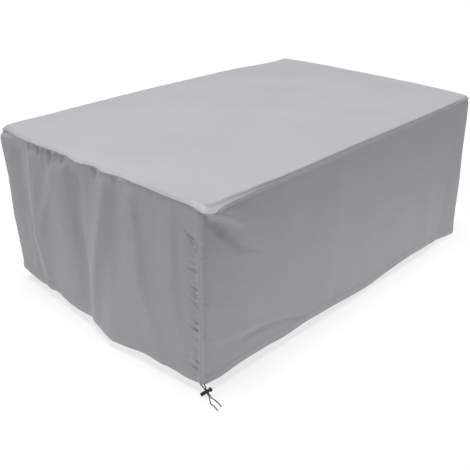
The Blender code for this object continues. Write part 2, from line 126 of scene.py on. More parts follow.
Fold = namedtuple("Fold", "side s0 z0 s1 z1 s2 z2 hi mid lo left right")
FOLDS = (
    Fold("side_left", 0.15, -0.05, 0.14, -0.36, 0.16, -0.70, -0.012, -0.014, -0.006, 0.10, 0.07),
    Fold("side_left", 0.27, -0.06, 0.22, -0.40, 0.25, -0.74, 0.010, 0.013, 0.010, 0.06, 0.13),
    Fold("side_left", 0.40, -0.14, 0.33, -0.28, 0.24, -0.44, 0.006, 0.006, 0.002, 0.05, 0.05),
    Fold("side_left", 0.46, -0.03, 0.45, -0.32, 0.48, -0.64, 0.014, 0.010, 0.004, 0.12, 0.08),
    Fold("side_left", 0.56, -0.03, 0.565, -0.36, 0.60, -0.72, -0.012, -0.017, -0.010, 0.07, 0.08),
    Fold("side_left", 0.77, -0.05, 0.71, -0.38, 0.64, -0.76, 0.012, 0.017, 0.008, 0.10, 0.07),
    Fold("side_left", 0.83, -0.10, 0.82, -0.38, 0.85, -0.62, -0.006, -0.010, -0.002, 0.06, 0.08),
    Fold("side_left", 0.93, -0.06, 0.965, -0.38, 1.09, -0.72, 0.008, 0.014, 0.006, 0.11, 0.045),
    Fold("side_left", 1.15, -0.08, 1.15, -0.34, 1.20, -0.66, 0.007, 0.010, 0.004, 0.10, 0.05),
    Fold("side_front", 0.01, -0.02, 0.17, -0.18, 0.50, -0.46, -0.012, -0.012, -0.001, 0.045, 0.060),
    Fold("side_front", 0.05, -0.02, 0.19, -0.09, 0.42, -0.20, 0.006, 0.006, 0.000, 0.045, 0.050),
    Fold("side_front", 0.10, -0.42, 0.28, -0.52, 0.52, -0.60, 0.002, 0.005, 0.000, 0.070, 0.080),
    Fold("side_front", 0.58, -0.14, 0.63, -0.25, 0.68, -0.36, -0.004, -0.006, -0.002, 0.120, 0.130),
    Fold("side_front", 0.86, -0.10, 0.85, -0.38, 0.80, -0.68, 0.002, 0.005, 0.004, 0.120, 0.090),
    Fold("side_front", 1.20, -0.52, 1.34, -0.44, 1.50, -0.36, 0.000, -0.005, 0.000, 0.090, 0.090),
    Fold("side_front", 1.60, -0.22, 1.72, -0.46, 1.74, -0.72, 0.001, 0.005, 0.006, 0.130, 0.100),
    Fold("side_front", 1.98, -0.30, 1.96, -0.55, 1.93, -0.78, -0.001, -0.006, -0.008, 0.090, 0.080),
    Fold("side_right", 0.16, -0.05, 0.18, -0.40, 0.20, -0.76, 0.008, 0.012, 0.008, 0.08, 0.10),
    Fold("side_right", 0.34, -0.06, 0.31, -0.38, 0.28, -0.74, -0.008, -0.012, -0.006, 0.08, 0.07),
    Fold("side_right", 0.50, -0.05, 0.47, -0.40, 0.41, -0.76, 0.010, 0.016, 0.010, 0.07, 0.11),
    Fold("side_right", 0.70, -0.08, 0.72, -0.40, 0.74, -0.70, -0.006, -0.012, -0.006, 0.09, 0.08),
    Fold("side_right", 0.90, -0.05, 0.93, -0.38, 1.02, -0.74, 0.010, 0.014, 0.010, 0.10, 0.07),
    Fold("side_right", 1.14, -0.06, 1.16, -0.36, 1.17, -0.68, -0.006, -0.010, -0.004, 0.07, 0.07),
    Fold("side_back", 0.24, -0.06, 0.23, -0.40, 0.20, -0.74, 0.006, 0.010, 0.006, 0.10, 0.08),
    Fold("side_back", 0.52, -0.08, 0.50, -0.40, 0.49, -0.70, -0.004, -0.010, -0.006, 0.11, 0.10),
    Fold("side_back", 0.78, -0.05, 0.82, -0.40, 0.86, -0.76, 0.006, 0.012, 0.008, 0.12, 0.08),
    Fold("side_back", 1.16, -0.10, 1.15, -0.42, 1.14, -0.70, -0.002, -0.008, -0.006, 0.13, 0.11),
    Fold("side_back", 1.40, -0.05, 1.45, -0.40, 1.50, -0.74, 0.005, 0.012, 0.010, 0.11, 0.09),
    Fold("side_back", 1.98, -0.03, 1.84, -0.22, 1.62, -0.44, -0.008, -0.010, 0.000, 0.07, 0.06),
)

CordPoint = namedtuple("CordPoint", "x y up")
GROUND = CORD_D / 2 + CLEAR
CORD_TAILS = {
    "drawcord_right": (
        CordPoint(-1.0626, -0.6978, GROUND), CordPoint(-1.0619, -0.7108, GROUND), CordPoint(-1.0643, -0.7257, GROUND),
        CordPoint(-1.0665, -0.7397, GROUND), CordPoint(-1.0714, -0.7536, GROUND), CordPoint(-1.0752, -0.7611, GROUND),
    ),
    "drawcord_left": (
        CordPoint(-1.0702, -0.6951, GROUND), CordPoint(-1.0785, -0.7048, GROUND), CordPoint(-1.0868, -0.7155, GROUND),
        CordPoint(-1.0902, -0.7256, GROUND), CordPoint(-1.0906, -0.7346, GROUND), CordPoint(-1.0926, -0.7448, GROUND),
        CordPoint(-1.0964, -0.7561, GROUND), CordPoint(-1.0997, -0.7669, GROUND),
    ),
}

# ---------------------------------------------------------------- sizes of the finer shape (m)
SHEET = 0.0011          # thickness that the visible cloth is given
TOP_ROUND = 0.018       # radius of the four upright edges, at the top and at the hem
HEM_ROUND = 0.020
HEM_TALL = 0.037        # the hem's stitch line stands this far above its edge
HEM_GAP = 0.0044        # the hem's tunnel
STITCH_PITCH = 0.0042
STITCH_LONG = 0.0030
STITCH_R = 0.00034

# Where each upright seam runs, off its corner: at the top, half way and at the hem. + is to the right, from outside.
Seam = namedtuple("Seam", "top mid hem")
SEAMS = {
    "left": Seam(0.014, 0.010, 0.006),
    "near": Seam(-0.036, -0.022, -0.014),
    "right": Seam(0.010, 0.006, 0.004),
    "rear": Seam(-0.012, -0.008, -0.004),
}

# The border of the top, stitched down along its inner edge: how wide it is, how deep that stitch line is sunk, how far
# a second line of stitches is from the first, and how far the border and the cloth under it are rolled in.
Border = namedtuple("Border", "side s wide sunk second roll")
BORDERS = (
    Border("side_left", -0.10, 0.026, 0.0012, 0.000, 0.010), Border("side_left", 0.00, 0.034, 0.0008, 0.000, 0.017),
    Border("side_left", 0.09, 0.032, 0.0008, 0.000, 0.015), Border("side_left", 0.20, 0.020, 0.0010, 0.000, 0.003),
    Border("side_left", 0.34, 0.015, 0.0012, 0.000, 0.000), Border("side_left", 0.80, 0.015, 0.0014, 0.000, 0.000),
    Border("side_left", 0.95, 0.017, 0.0018, 0.0075, 0.000), Border("side_left", 1.24, 0.019, 0.0020, 0.0085, 0.000),
    Border("side_front", -0.02, 0.026, 0.0016, 0.0000, 0.000), Border("side_front", 0.03, 0.022, 0.0030, 0.0000, -0.001),
    Border("side_front", 0.10, 0.016, 0.0034, 0.0000, 0.000), Border("side_front", 0.24, 0.012, 0.0026, 0.0000, 0.000),
    Border("side_front", 0.70, 0.011, 0.0018, 0.0000, 0.000), Border("side_front", 1.40, 0.011, 0.0018, 0.0000, 0.000),
    Border("side_front", 1.96, 0.016, 0.0018, 0.0000, 0.001), Border("side_right", 0.00, 0.026, 0.0018, 0.0080, 0.006),
    Border("side_right", 0.16, 0.018, 0.0020, 0.0070, 0.000), Border("side_right", 1.10, 0.018, 0.0020, 0.0070, 0.000),
    Border("side_back", 0.00, 0.022, 0.0018, 0.0070, 0.002), Border("side_back", 0.20, 0.018, 0.0020, 0.0070, 0.000),
    Border("side_back", 1.80, 0.018, 0.0018, 0.0070, 0.000),
)

# The turned-in edge of the sides under that border: how tall it is, and how far it stands out.
Band = namedtuple("Band", "side s tall out")
BANDS = (
    Band("side_left", 0.00, 0.014, 0.0005), Band("side_left", 0.95, 0.013, 0.0007), Band("side_front", -0.03, 0.012, 0.0008),
    Band("side_front", 0.05, 0.013, 0.0020), Band("side_front", 0.18, 0.012, 0.0022), Band("side_front", 0.70, 0.011, 0.0020),
    Band("side_right", 0.20, 0.013, 0.0008), Band("side_back", 0.20, 0.013, 0.0008), Band("side_back", 2.00, 0.013, 0.0008),
)

# How the seam round the top strays from its straight line: outwards, and down.
Rim = namedtuple("Rim", "side s out low")
RIMS = (
    Rim("side_left", 0.00, 0.000, 0.000), Rim("side_left", 0.099, 0.002, 0.006), Rim("side_left", 0.237, 0.001, 0.008),
    Rim("side_left", 0.375, -0.001, 0.006), Rim("side_left", 0.493, -0.002, 0.003), Rim("side_left", 0.547, 0.002, 0.001),
    Rim("side_left", 0.586, 0.009, 0.006), Rim("side_left", 0.640, 0.007, 0.005), Rim("side_left", 0.709, -0.002, 0.000),
    Rim("side_left", 0.773, 0.006, 0.004), Rim("side_left", 0.847, 0.001, 0.000), Rim("side_left", 1.025, 0.000, 0.001),
    Rim("side_left", 1.261, 0.000, 0.000), Rim("side_left", 1.298, 0.001, 0.000), Rim("side_front", 0.044, 0.007, 0.009),
    Rim("side_front", 0.11, 0.004, 0.006),
    Rim("side_front", 0.22, 0.000, 0.005), Rim("side_front", 0.62, 0.001, 0.006), Rim("side_front", 0.90, 0.000, 0.004),
    Rim("side_front", 1.40, 0.001, 0.005), Rim("side_front", 1.95, 0.000, 0.003), Rim("side_right", 0.00, -0.002, 0.000),
    Rim("side_right", 0.30, 0.006, -0.003), Rim("side_right", 0.52, 0.002, -0.004), Rim("side_right", 0.86, 0.006, -0.002),
    Rim("side_right", 1.10, 0.002, -0.002), Rim("side_right", 1.25, 0.000, 0.004), Rim("side_back", 0.00, 0.000, 0.008),
    Rim("side_back", 0.09, 0.000, 0.013), Rim("side_back", 0.24, 0.000, 0.013), Rim("side_back", 0.45, 0.002, 0.003),
    Rim("side_back", 0.90, -0.001, 0.000), Rim("side_back", 1.42, 0.003, 0.003), Rim("side_back", 1.90, 0.000, 0.002),
    Rim("side_back", 2.13, 0.000, 0.000),
)

# Creases finer than the model's folds. sharp: 0 is a round ridge, 1 one with an edge.
Crease = namedtuple("Crease", "side s0 z0 s1 z1 s2 z2 hi mid lo left right sharp")
CREASES = (
    # the end on the left: long soft ridges, lit on their left flanks
    Crease("side_left", 0.274, -0.19, 0.239, -0.33, 0.215, -0.47, 0.003, 0.004, 0.003, 0.030, 0.036, 0.7),
    Crease("side_left", 0.220, -0.48, 0.237, -0.57, 0.265, -0.69, 0.003, 0.005, 0.004, 0.034, 0.022, 0.8),
    Crease("side_left", 0.398, -0.20, 0.325, -0.31, 0.252, -0.45, 0.002, 0.004, 0.003, 0.030, 0.034, 0.6),
    Crease("side_left", 0.217, -0.10, 0.201, -0.27, 0.183, -0.43, -0.002, -0.005, -0.002, 0.050, 0.024, 0.6),
    Crease("side_left", 0.136, -0.42, 0.142, -0.54, 0.140, -0.70, 0.003, 0.004, 0.004, 0.024, 0.030, 0.4),
    Crease("side_left", 0.572, -0.11, 0.568, -0.36, 0.613, -0.69, -0.003, -0.006, -0.004, 0.055, 0.032, 1.0),
    Crease("side_left", 0.784, -0.03, 0.710, -0.37, 0.653, -0.74, 0.002, 0.005, 0.003, 0.050, 0.026, 0.9),
    Crease("side_left", 0.891, -0.02, 0.952, -0.16, 0.969, -0.36, 0.003, 0.004, 0.003, 0.050, 0.032, 0.7),
    Crease("side_left", 0.969, -0.36, 0.991, -0.49, 1.039, -0.57, 0.003, 0.0035, 0.002, 0.050, 0.028, 0.7),
    Crease("side_left", 1.034, -0.57, 1.070, -0.62, 1.107, -0.69, 0.002, 0.0025, 0.001, 0.040, 0.026, 0.6),
    Crease("side_left", 1.123, -0.07, 1.153, -0.18, 1.168, -0.32, 0.002, 0.004, 0.003, 0.050, 0.026, 0.5),
    Crease("side_left", 1.180, -0.15, 1.190, -0.28, 1.206, -0.42, -0.001, -0.0015, -0.0005, 0.014, 0.030, 0.5),
    Crease("side_left", 0.911, -0.118, 0.956, -0.121, 1.000, -0.118, 0.001, 0.003, 0.001, 0.012, 0.012, 0.3),
    Crease("side_left", 0.921, -0.138, 0.956, -0.143, 0.990, -0.146, -0.001, -0.002, -0.001, 0.014, 0.014, 0.3),
    Crease("side_left", 1.226, -0.110, 1.256, -0.131, 1.287, -0.148, -0.001, -0.004, -0.003, 0.012, 0.014, 0.6),
    Crease("side_left", 1.223, -0.134, 1.253, -0.154, 1.285, -0.170, 0.001, 0.004, 0.003, 0.014, 0.014, 0.5),
    Crease("side_left", 0.560, -0.012, 0.526, -0.050, 0.465, -0.112, 0.006, 0.007, 0.001, 0.030, 0.022, 0.7),
    Crease("side_left", 0.577, -0.014, 0.572, -0.060, 0.568, -0.130, -0.005, -0.007, -0.003, 0.020, 0.044, 0.6),
    Crease("side_left", 0.700, -0.010, 0.703, -0.040, 0.715, -0.090, -0.004, -0.003, 0.000, 0.022, 0.026, 0.4),
    Crease("side_left", 0.778, -0.66, 0.790, -0.71, 0.808, -0.77, 0.002, 0.003, 0.003, 0.030, 0.024, 0.6),
    Crease("side_left", 1.218, -0.56, 1.222, -0.63, 1.227, -0.70, 0.001, 0.003, 0.002, 0.018, 0.014, 0.6),
    Crease("side_left", 0.345, -0.46, 0.365, -0.55, 0.355, -0.66, 0.001, 0.002, 0.001, 0.050, 0.050, 0.2),
    Crease("side_left", 1.205, -0.108, 1.245, -0.140, 1.282, -0.182, -0.002, -0.005, -0.004, 0.010, 0.014, 0.5),
    Crease("side_left", 0.000, -0.04, 0.000, -0.22, 0.000, -0.46, -0.005, -0.006, 0.000, 0.100, 0.100, 0.0),
    Crease("side_left", 0.120, -0.100, 0.110, -0.180, 0.120, -0.300, -0.004, -0.006, -0.002, 0.090, 0.080, 0.0),
    Crease("side_left", 0.000, -0.52, 0.000, -0.62, 0.000, -0.74, 0.000, 0.004, 0.006, 0.100, 0.100, 0.0),
    # the long side in front: a fan from under the near corner, then drawn smooth
    Crease("side_front", -0.015, -0.020, 0.025, -0.050, 0.080, -0.090, -0.008, -0.010, -0.002, 0.034, 0.022, 0.7),
    Crease("side_front", -0.020, -0.060, 0.020, -0.110, 0.080, -0.180, -0.006, -0.006, -0.001, 0.040, 0.050, 0.1),
    Crease("side_front", 0.066, -0.034, 0.160, -0.090, 0.290, -0.220, 0.006, 0.005, 0.001, 0.040, 0.036, 0.4),
    Crease("side_front", -0.012, -0.020, 0.026, -0.048, 0.080, -0.088, -0.005, -0.006, -0.002, 0.009, 0.014, 0.7),
    Crease("side_front", 0.040, -0.040, 0.110, -0.066, 0.215, -0.130, 0.002, 0.004, 0.002, 0.014, 0.026, 0.5),
    Crease("side_front", 0.115, -0.135, 0.215, -0.215, 0.340, -0.330, 0.004, 0.006, 0.003, 0.050, 0.050, 0.0),
    Crease("side_front", 0.225, -0.230, 0.305, -0.276, 0.385, -0.326, -0.001, -0.003, -0.001, 0.014, 0.018, 0.4),
    Crease("side_front", 0.120, -0.245, 0.230, -0.262, 0.330, -0.300, 0.001, 0.002, 0.000, 0.020, 0.026, 0.3),
    Crease("side_front", 0.020, -0.585, 0.200, -0.600, 0.400, -0.625, 0.003, 0.005, 0.002, 0.036, 0.040, 0.2),
    Crease("side_front", 0.230, -0.640, 0.430, -0.668, 0.640, -0.735, -0.003, -0.007, -0.006, 0.028, 0.030, 0.3),
    Crease("side_front", 0.958, -0.573, 1.004, -0.546, 1.052, -0.523, 0.001, 0.002, 0.001, 0.012, 0.012, 0.5),
    Crease("side_front", 0.985, -0.590, 1.028, -0.566, 1.074, -0.540, -0.001, -0.002, -0.001, 0.012, 0.012, 0.4),
    Crease("side_front", 0.600, -0.640, 0.690, -0.665, 0.820, -0.676, 0.001, 0.002, 0.001, 0.030, 0.030, 0.3),
    Crease("side_front", 2.030, -0.640, 2.020, -0.710, 1.990, -0.780, -0.001, -0.004, -0.004, 0.050, 0.030, 0.5),
    Crease("side_front", 2.130, -0.020, 2.130, -0.200, 2.130, -0.440, -0.006, -0.006, 0.000, 0.120, 0.120, 0.0),
    # the far end and the back
    Crease("side_right", 0.172, -0.06, 0.186, -0.38, 0.204, -0.72, 0.003, 0.004, 0.003, 0.030, 0.050, 0.8),
    Crease("side_right", 0.330, -0.10, 0.312, -0.38, 0.286, -0.70, -0.003, -0.004, -0.002, 0.030, 0.044, 0.8),
    Crease("side_right", 0.490, -0.06, 0.466, -0.40, 0.412, -0.72, 0.003, 0.005, 0.003, 0.028, 0.050, 0.8),
    Crease("side_right", 0.922, -0.06, 0.944, -0.36, 1.016, -0.70, 0.003, 0.005, 0.002, 0.048, 0.026, 0.8),
    Crease("side_right", 0.640, -0.05, 0.668, -0.18, 0.712, -0.30, 0.002, 0.003, 0.001, 0.030, 0.024, 0.5),
    Crease("side_right", 1.190, -0.03, 1.236, -0.10, 1.296, -0.16, 0.003, 0.003, 0.001, 0.022, 0.024, 0.5),
    Crease("side_back", 0.226, -0.08, 0.226, -0.38, 0.204, -0.70, 0.002, 0.003, 0.002, 0.040, 0.030, 0.7),
    Crease("side_back", 0.800, -0.06, 0.826, -0.38, 0.862, -0.72, 0.002, 0.004, 0.003, 0.046, 0.030, 0.8),
    Crease("side_back", 1.420, -0.06, 1.456, -0.38, 1.502, -0.72, 0.002, 0.004, 0.003, 0.044, 0.030, 0.8),
    Crease("side_back", 1.100, -0.03, 1.080, -0.15, 1.030, -0.30, 0.002, 0.003, 0.001, 0.026, 0.030, 0.5),
    Crease("side_back", 2.100, -0.04, 2.000, -0.15, 1.860, -0.27, -0.006, -0.005, -0.001, 0.030, 0.034, 0.6),
)

# Short pleats that hang from the seam of the top.
Pleat = namedtuple("Pleat", "side s long deep wide lean")
PLEATS = (
    Pleat("side_left", 0.252, 0.060, -0.004, 0.012, -0.004), Pleat("side_left", 0.272, 0.050, 0.003, 0.010, -0.004),
    Pleat("side_left", 0.292, 0.046, -0.003, 0.010, -0.002), Pleat("side_left", 0.317, 0.076, -0.006, 0.013, -0.006),
    Pleat("side_left", 0.339, 0.070, 0.004, 0.011, -0.004), Pleat("side_left", 0.361, 0.054, -0.003, 0.011, -0.004),
    Pleat("side_left", 0.380, 0.060, 0.003, 0.012, -0.006), Pleat("side_left", 0.404, 0.088, -0.007, 0.015, -0.010),
    Pleat("side_left", 0.432, 0.074, 0.004, 0.014, -0.012), Pleat("side_left", 0.459, 0.060, -0.003, 0.012, -0.014),
    Pleat("side_left", 0.495, 0.064, -0.004, 0.013, -0.020), Pleat("side_left", 0.709, 0.060, -0.003, 0.014, 0.004),
    Pleat("side_left", 0.743, 0.044, 0.002, 0.012, 0.004), Pleat("side_left", 0.830, 0.050, -0.003, 0.012, 0.006),
    Pleat("side_left", 0.867, 0.060, 0.002, 0.014, 0.010), Pleat("side_left", 1.044, 0.040, -0.002, 0.012, 0.004),
    Pleat("side_front", 0.560, 0.050, -0.0012, 0.014, 0.010), Pleat("side_front", 0.700, 0.070, 0.0014, 0.020, 0.006),
    Pleat("side_front", 0.980, 0.060, -0.0012, 0.018, -0.006), Pleat("side_front", 1.330, 0.050, 0.0010, 0.018, 0.004),
    Pleat("side_right", 0.240, 0.070, -0.004, 0.013, 0.010), Pleat("side_right", 0.268, 0.056, 0.003, 0.012, 0.008),
    Pleat("side_right", 0.300, 0.064, -0.003, 0.012, 0.004), Pleat("side_right", 0.560, 0.070, -0.004, 0.014, -0.006),
    Pleat("side_right", 0.590, 0.060, 0.003, 0.012, -0.006), Pleat("side_right", 0.780, 0.060, -0.003, 0.013, 0.008),
    Pleat("side_right", 1.020, 0.070, -0.004, 0.014, 0.010), Pleat("side_right", 1.052, 0.050, 0.002, 0.012, 0.008),
    Pleat("side_back", 0.350, 0.050, -0.002, 0.014, 0.006), Pleat("side_back", 0.640, 0.060, -0.003, 0.014, 0.008),
    Pleat("side_back", 0.672, 0.050, 0.002, 0.013, 0.008), Pleat("side_back", 1.250, 0.060, -0.003, 0.014, 0.006),
    Pleat("side_back", 1.640, 0.066, -0.003, 0.014, -0.010), Pleat("side_back", 1.676, 0.050, 0.002, 0.012, -0.010),
)

# How strongly the cloth puckers beside each upright seam: on its left and on its right, and how far out.
Pucker = namedtuple("Pucker", "left right reach_left reach_right z_from z_to")
PUCKERS = {
    "left": Pucker(0.0010, 0.0012, 0.040, 0.040, -0.10, -0.70),
    "near": Pucker(0.0078, 0.0034, 0.066, 0.070, -0.12, -0.735),
    "right": Pucker(0.0008, 0.0014, 0.040, 0.050, -0.10, -0.74),
    "rear": Pucker(0.0012, 0.0010, 0.046, 0.040, -0.10, -0.72),
}

# ---------------------------------------------------------------- the model's shape functions
def smooth(x):
    x = np.clip(x, 0.0, 1.0)
    return x * x * (3 - 2 * x)


def through(xs, ys, x):
    """A smooth curve through the points (xs, ys), read at x."""
    xs, ys, x = np.asarray(xs, float), np.asarray(ys, float), np.asarray(x, float)
    slope = np.gradient(ys, xs)
    slope[0] = slope[-1] = 0.0
    k = np.clip(np.searchsorted(xs, x) - 1, 0, len(xs) - 2)
    h = xs[k + 1] - xs[k]
    u = np.clip((x - xs[k]) / h, 0.0, 1.0)
    return (
        (1 + 2 * u) * (1 - u) ** 2 * ys[k]
        + u * (1 - u) ** 2 * h * slope[k]
        + u * u * (3 - 2 * u) * ys[k + 1]
        + u * u * (u - 1) * h * slope[k + 1]
    )


def three_points(a, b, c, u):
    return a * (1 - u) * (1 - 2 * u) + b * 4 * u * (1 - u) + c * u * (2 * u - 1)


def along_line(line, s, z, pieces):
    """For each point (s, z): its distance from a fold's line, its place along it, and which side of it it is on."""
    u = np.linspace(0, 1, pieces + 1)
    ps, pz = three_points(line.s0, line.s1, line.s2, u), three_points(line.z0, line.z1, line.z2, u)
    best = np.full(s.shape, 1e9)
    at = np.zeros(s.shape)
    side = np.zeros(s.shape)
    for i in range(pieces):
        ts, tz = ps[i + 1] - ps[i], pz[i + 1] - pz[i]
        run = ts * ts + tz * tz
        k = np.clip(((s - ps[i]) * ts + (z - pz[i]) * tz) / run, 0, 1)
        ds, dz = s - ps[i] - k * ts, z - pz[i] - k * tz
        d = np.hypot(ds, dz)
        near = d < best
        best = np.where(near, d, best)
        at = np.where(near, (i + k) / pieces, at)
        side = np.where(near, ts * dz - tz * ds, side)
    return best, at, side


def fold_height(fold, s, z, pieces=14):
    best, at, side = along_line(fold, s, z, pieces)
    flank = np.where(side > 0, fold.right, fold.left)
    height = np.interp(at, (0, 0.5, 1), (fold.hi, fold.mid, fold.lo))
    return height * 0.5 * (1 + np.cos(math.pi * np.clip(best / flank, 0, 1)))


def side_length(side):
    return LENGTH if SIDES[side].long else WIDTH


def rim_z(to_corner):
    return -RIM_DROP - CORNER_DROP * (1 - smooth(to_corner / CORNER_SOFT))


def corner_at(name, t):
    c = CORNERS[name]
    lean = t ** 1.4
    return c.sx * LENGTH / 2 + c.in_x * lean, c.sy * WIDTH / 2 + c.in_y * lean


def side_point(name, s, t):
    """The outer face of a side of the model, at s along it and t of the way from its top edge to its hem."""
    side, length = SIDES[name], side_length(name)
    f = s / length
    ax, ay = corner_at(side.left, t)
    bx, by = corner_at(side.right, t)
    rows = HEMS[name]
    hem_out = through([r.s for r in rows], [r.out for r in rows], s)
    hem_low = through([r.s for r in rows], [r.low for r in rows], s)
    drop = CORNERS[side.left].drop * (1 - f) + CORNERS[side.right].drop * f + hem_low
    top = rim_z(np.minimum(s, length - s)) - CLOTH - SEAM_GAP
    z = top + (-drop - top) * t
    out = np.zeros(np.broadcast(s, t).shape)
    for fold in FOLDS:
        if fold.side == name:
            out = out + fold_height(fold, s + 0 * t, z)
    out = out * smooth(np.minimum(s, length - s) / 0.06) * smooth((top - z) / 0.07)
    out = out + hem_out * t ** 1.7
    x = ax + (bx - ax) * f + side.out_x * out
    y = ay + (by - ay) * f + side.out_y * out
    return x, y, z


# ---------------------------------------------------------------- one surface round the whole cover
ORDER = ("side_left", "side_front", "side_right", "side_back")
CORNER_OF = {"side_left": "left", "side_front": "near", "side_right": "right", "side_back": "rear"}   # at its start
START = {"side_left": 0.0, "side_front": WIDTH, "side_right": WIDTH + LENGTH, "side_back": 2 * WIDTH + LENGTH}
ROUND = 2 * (WIDTH + LENGTH)


def wrapped(p, middle=0.0):
    """p, taken round the cover until it is within half a turn of `middle`."""
    return (p - middle + ROUND / 2) % ROUND - ROUND / 2 + middle


def table_round(rows, field, p):
    """A column of a table whose rows name a side and a place on it, read all the way round."""
    at = sorted(((START[r.side] + r.s) % ROUND, getattr(r, field)) for r in rows)
    xs = [a for a, _ in at]
    ys = [b for _, b in at]
    xs = [xs[-1] - ROUND] + xs + [xs[0] + ROUND]
    ys = [ys[-1]] + ys + [ys[0]]
    keep = [0] + [i for i in range(1, len(xs)) if xs[i] - xs[i - 1] > 1e-6]
    return through([xs[i] for i in keep], [ys[i] for i in keep], p % ROUND)


def rolled(p, depth):
    """How far the cloth is rolled in under the border of the top."""
    return table_round(BORDERS, "roll", p) * (1 - smooth(depth / 0.040))


def skirt(p, t):
    """The sides of the model as one surface, its four upright edges rounded."""
    p = p % ROUND
    t = t + 0 * p
    out = np.zeros(p.shape + (3,))
    r = TOP_ROUND + (HEM_ROUND - TOP_ROUND) * t
    for i, name in enumerate(ORDER):
        length, start = side_length(name), START[name]
        s = p - start
        here = (s >= r) & (s <= length - r)
        if here.any():
            out[here] = np.stack(side_point(name, s[here], t[here]), -1)
        before = ORDER[i - 1]
        d = wrapped(p - start)
        turn = np.abs(d) < r
        if turn.any():
            rr, tt = r[turn], t[turn]
            a = np.stack(side_point(before, side_length(before) - rr, tt), -1)
            c = np.stack(side_point(name, 0 * rr, tt), -1)
            b = np.stack(side_point(name, rr, tt), -1)
            angle = (d[turn] / rr + 1) * math.pi / 4
            out[turn] = c + (a - c) * (1 - np.sin(angle))[:, None] + (b - c) * (1 - np.cos(angle))[:, None]
    # the seam of the top strays a little, and the cloth below it follows
    low = table_round(RIMS, "low", p)
    push = table_round(RIMS, "out", p)
    depth = -out[..., 2]
    fall = 1 - smooth(depth / 0.16)
    out[..., 2] -= low * fall
    side_x, side_y = outward(p)
    out[..., 0] += side_x * push * fall
    out[..., 1] += side_y * push * fall
    return out


def outward(p):
    """The level direction out of the cover, turning smoothly at the corners."""
    r = TOP_ROUND
    x, y = np.zeros(p.shape), np.zeros(p.shape)
    for i, name in enumerate(ORDER):
        d = wrapped(p - START[name])
        before = SIDES[ORDER[i - 1]]
        this = SIDES[name]
        angle = np.clip(d / r, -1, 1) * math.pi / 4 + math.pi / 4
        length = side_length(name)
        own = (d > -r) & (wrapped(p - START[name], length / 2) <= length - r)
        x = np.where(own, before.out_x * np.cos(angle) + this.out_x * np.sin(angle), x)
        y = np.where(own, before.out_y * np.cos(angle) + this.out_y * np.sin(angle), y)
    return x, y


def drop_at(p):
    """Length of the cloth from the seam of the top down to the hem's edge."""
    return -skirt(p, np.ones(p.shape))[..., 2] + skirt(p, np.zeros(p.shape))[..., 2]


# ---------------------------------------------------------------- finer shape, as height over that surface
def waves(u, v, seed, count, low, high, along=1.0):
    """Seeded soft unevenness: plane waves with lengths from `low` to `high`, the same after a whole turn round u."""
    rng = np.random.default_rng(seed)
    total = np.zeros(np.broadcast(u, v).shape)
    for _ in range(count):
        size = math.exp(rng.uniform(math.log(low), math.log(high)))
        way = rng.uniform(0, math.pi)
        turns = round(math.cos(way) / size * ROUND / along)
        total += math.sqrt(size / high) * np.sin(
            2 * math.pi * (turns * u / ROUND + math.sin(way) / size * v) + rng.uniform(0, 2 * math.pi)
        )
    return total / math.sqrt(count / 2)


def bell(x, width):
    return np.exp(-((x / width) ** 2))


def crease_height(crease, s, z, pieces=8):
    best, at, side = along_line(crease, s, z, pieces)
    flank = np.where(side > 0, crease.right, crease.left)
    height = np.interp(at, (0, 0.5, 1), (crease.hi, crease.mid, crease.lo))
    x = np.clip(best / flank, 0, 1)
    return height * ((1 - crease.sharp) * 0.5 * (1 + np.cos(math.pi * x)) + crease.sharp * (1 - x) ** 2 * (1 + 0.4 * x))


def add_line(total, line, s, z, pieces=8):
    """Adds one crease where it reaches, and leaves the rest alone."""
    reach = max(line.left, line.right)
    near = (
        (s > min(line.s0, line.s1, line.s2) - reach - 0.02) & (s < max(line.s0, line.s1, line.s2) + reach + 0.02)
        & (z > min(line.z0, line.z1, line.z2) - reach - 0.02) & (z < max(line.z0, line.z1, line.z2) + reach + 0.02)
    )
    if near.any():
        total[near] += crease_height(line, s[near], z[near], pieces)


def seam_at(corner, t):
    row = SEAMS[corner]
    start = [START[n] for n in ORDER if CORNER_OF[n] == corner][0]
    return start + three_points(row.top, row.mid, row.hem, t)


def plain_seam(p):
    """How plainly the seam under the border shows: hardly along the end at the left, where the cloth rolls over it."""
    s = p % ROUND
    return 1 - 0.92 * smooth((s - 0.03) / 0.06) * (1 - smooth((s - 0.86) / 0.16))


def seam_puckers():
    """Short level wrinkles beside the upright seams, a row of creases for each."""
    rows = []
    rng = np.random.default_rng(41)
    for name in ORDER:
        corner = CORNER_OF[name]
        row = PUCKERS[corner]
        length = abs(row.z_to - row.z_from)
        for side, height, reach in ((-1, row.left, row.reach_left), (1, row.right, row.reach_right)):
            z = row.z_from - rng.uniform(0, 0.02)
            while z > row.z_to:
                t = -z / 0.77
                seam = float(seam_at(corner, np.float64(t))) - START[name]
                strong = 0.70 + 0.30 * math.sin(-z * 31 - 1.2) * math.sin(-z * 13 + 0.5)
                long = reach * rng.uniform(0.35, 1.15) * (0.7 + 0.4 * strong)
                high = height * strong * rng.uniform(0.45, 1.15) * (1 if rng.random() < 0.72 else -1)
                tilt = rng.uniform(-0.012, 0.030)
                flank = rng.uniform(0.005, 0.010)
                s0, s2 = seam + side * 0.011, seam + side * (0.011 + long)
                rows.append(Crease(name, s0, z, (s0 + s2) / 2, z + tilt * 0.4, s2, z + tilt,
                                   high, high * 0.9, high * 0.1, flank, flank, 0.3))
                z -= rng.uniform(0.010, 0.028 - 0.008 * float(smooth(-z / 0.45))) * (1.0 if abs(height) > 0.002 else 2.0)
    return rows


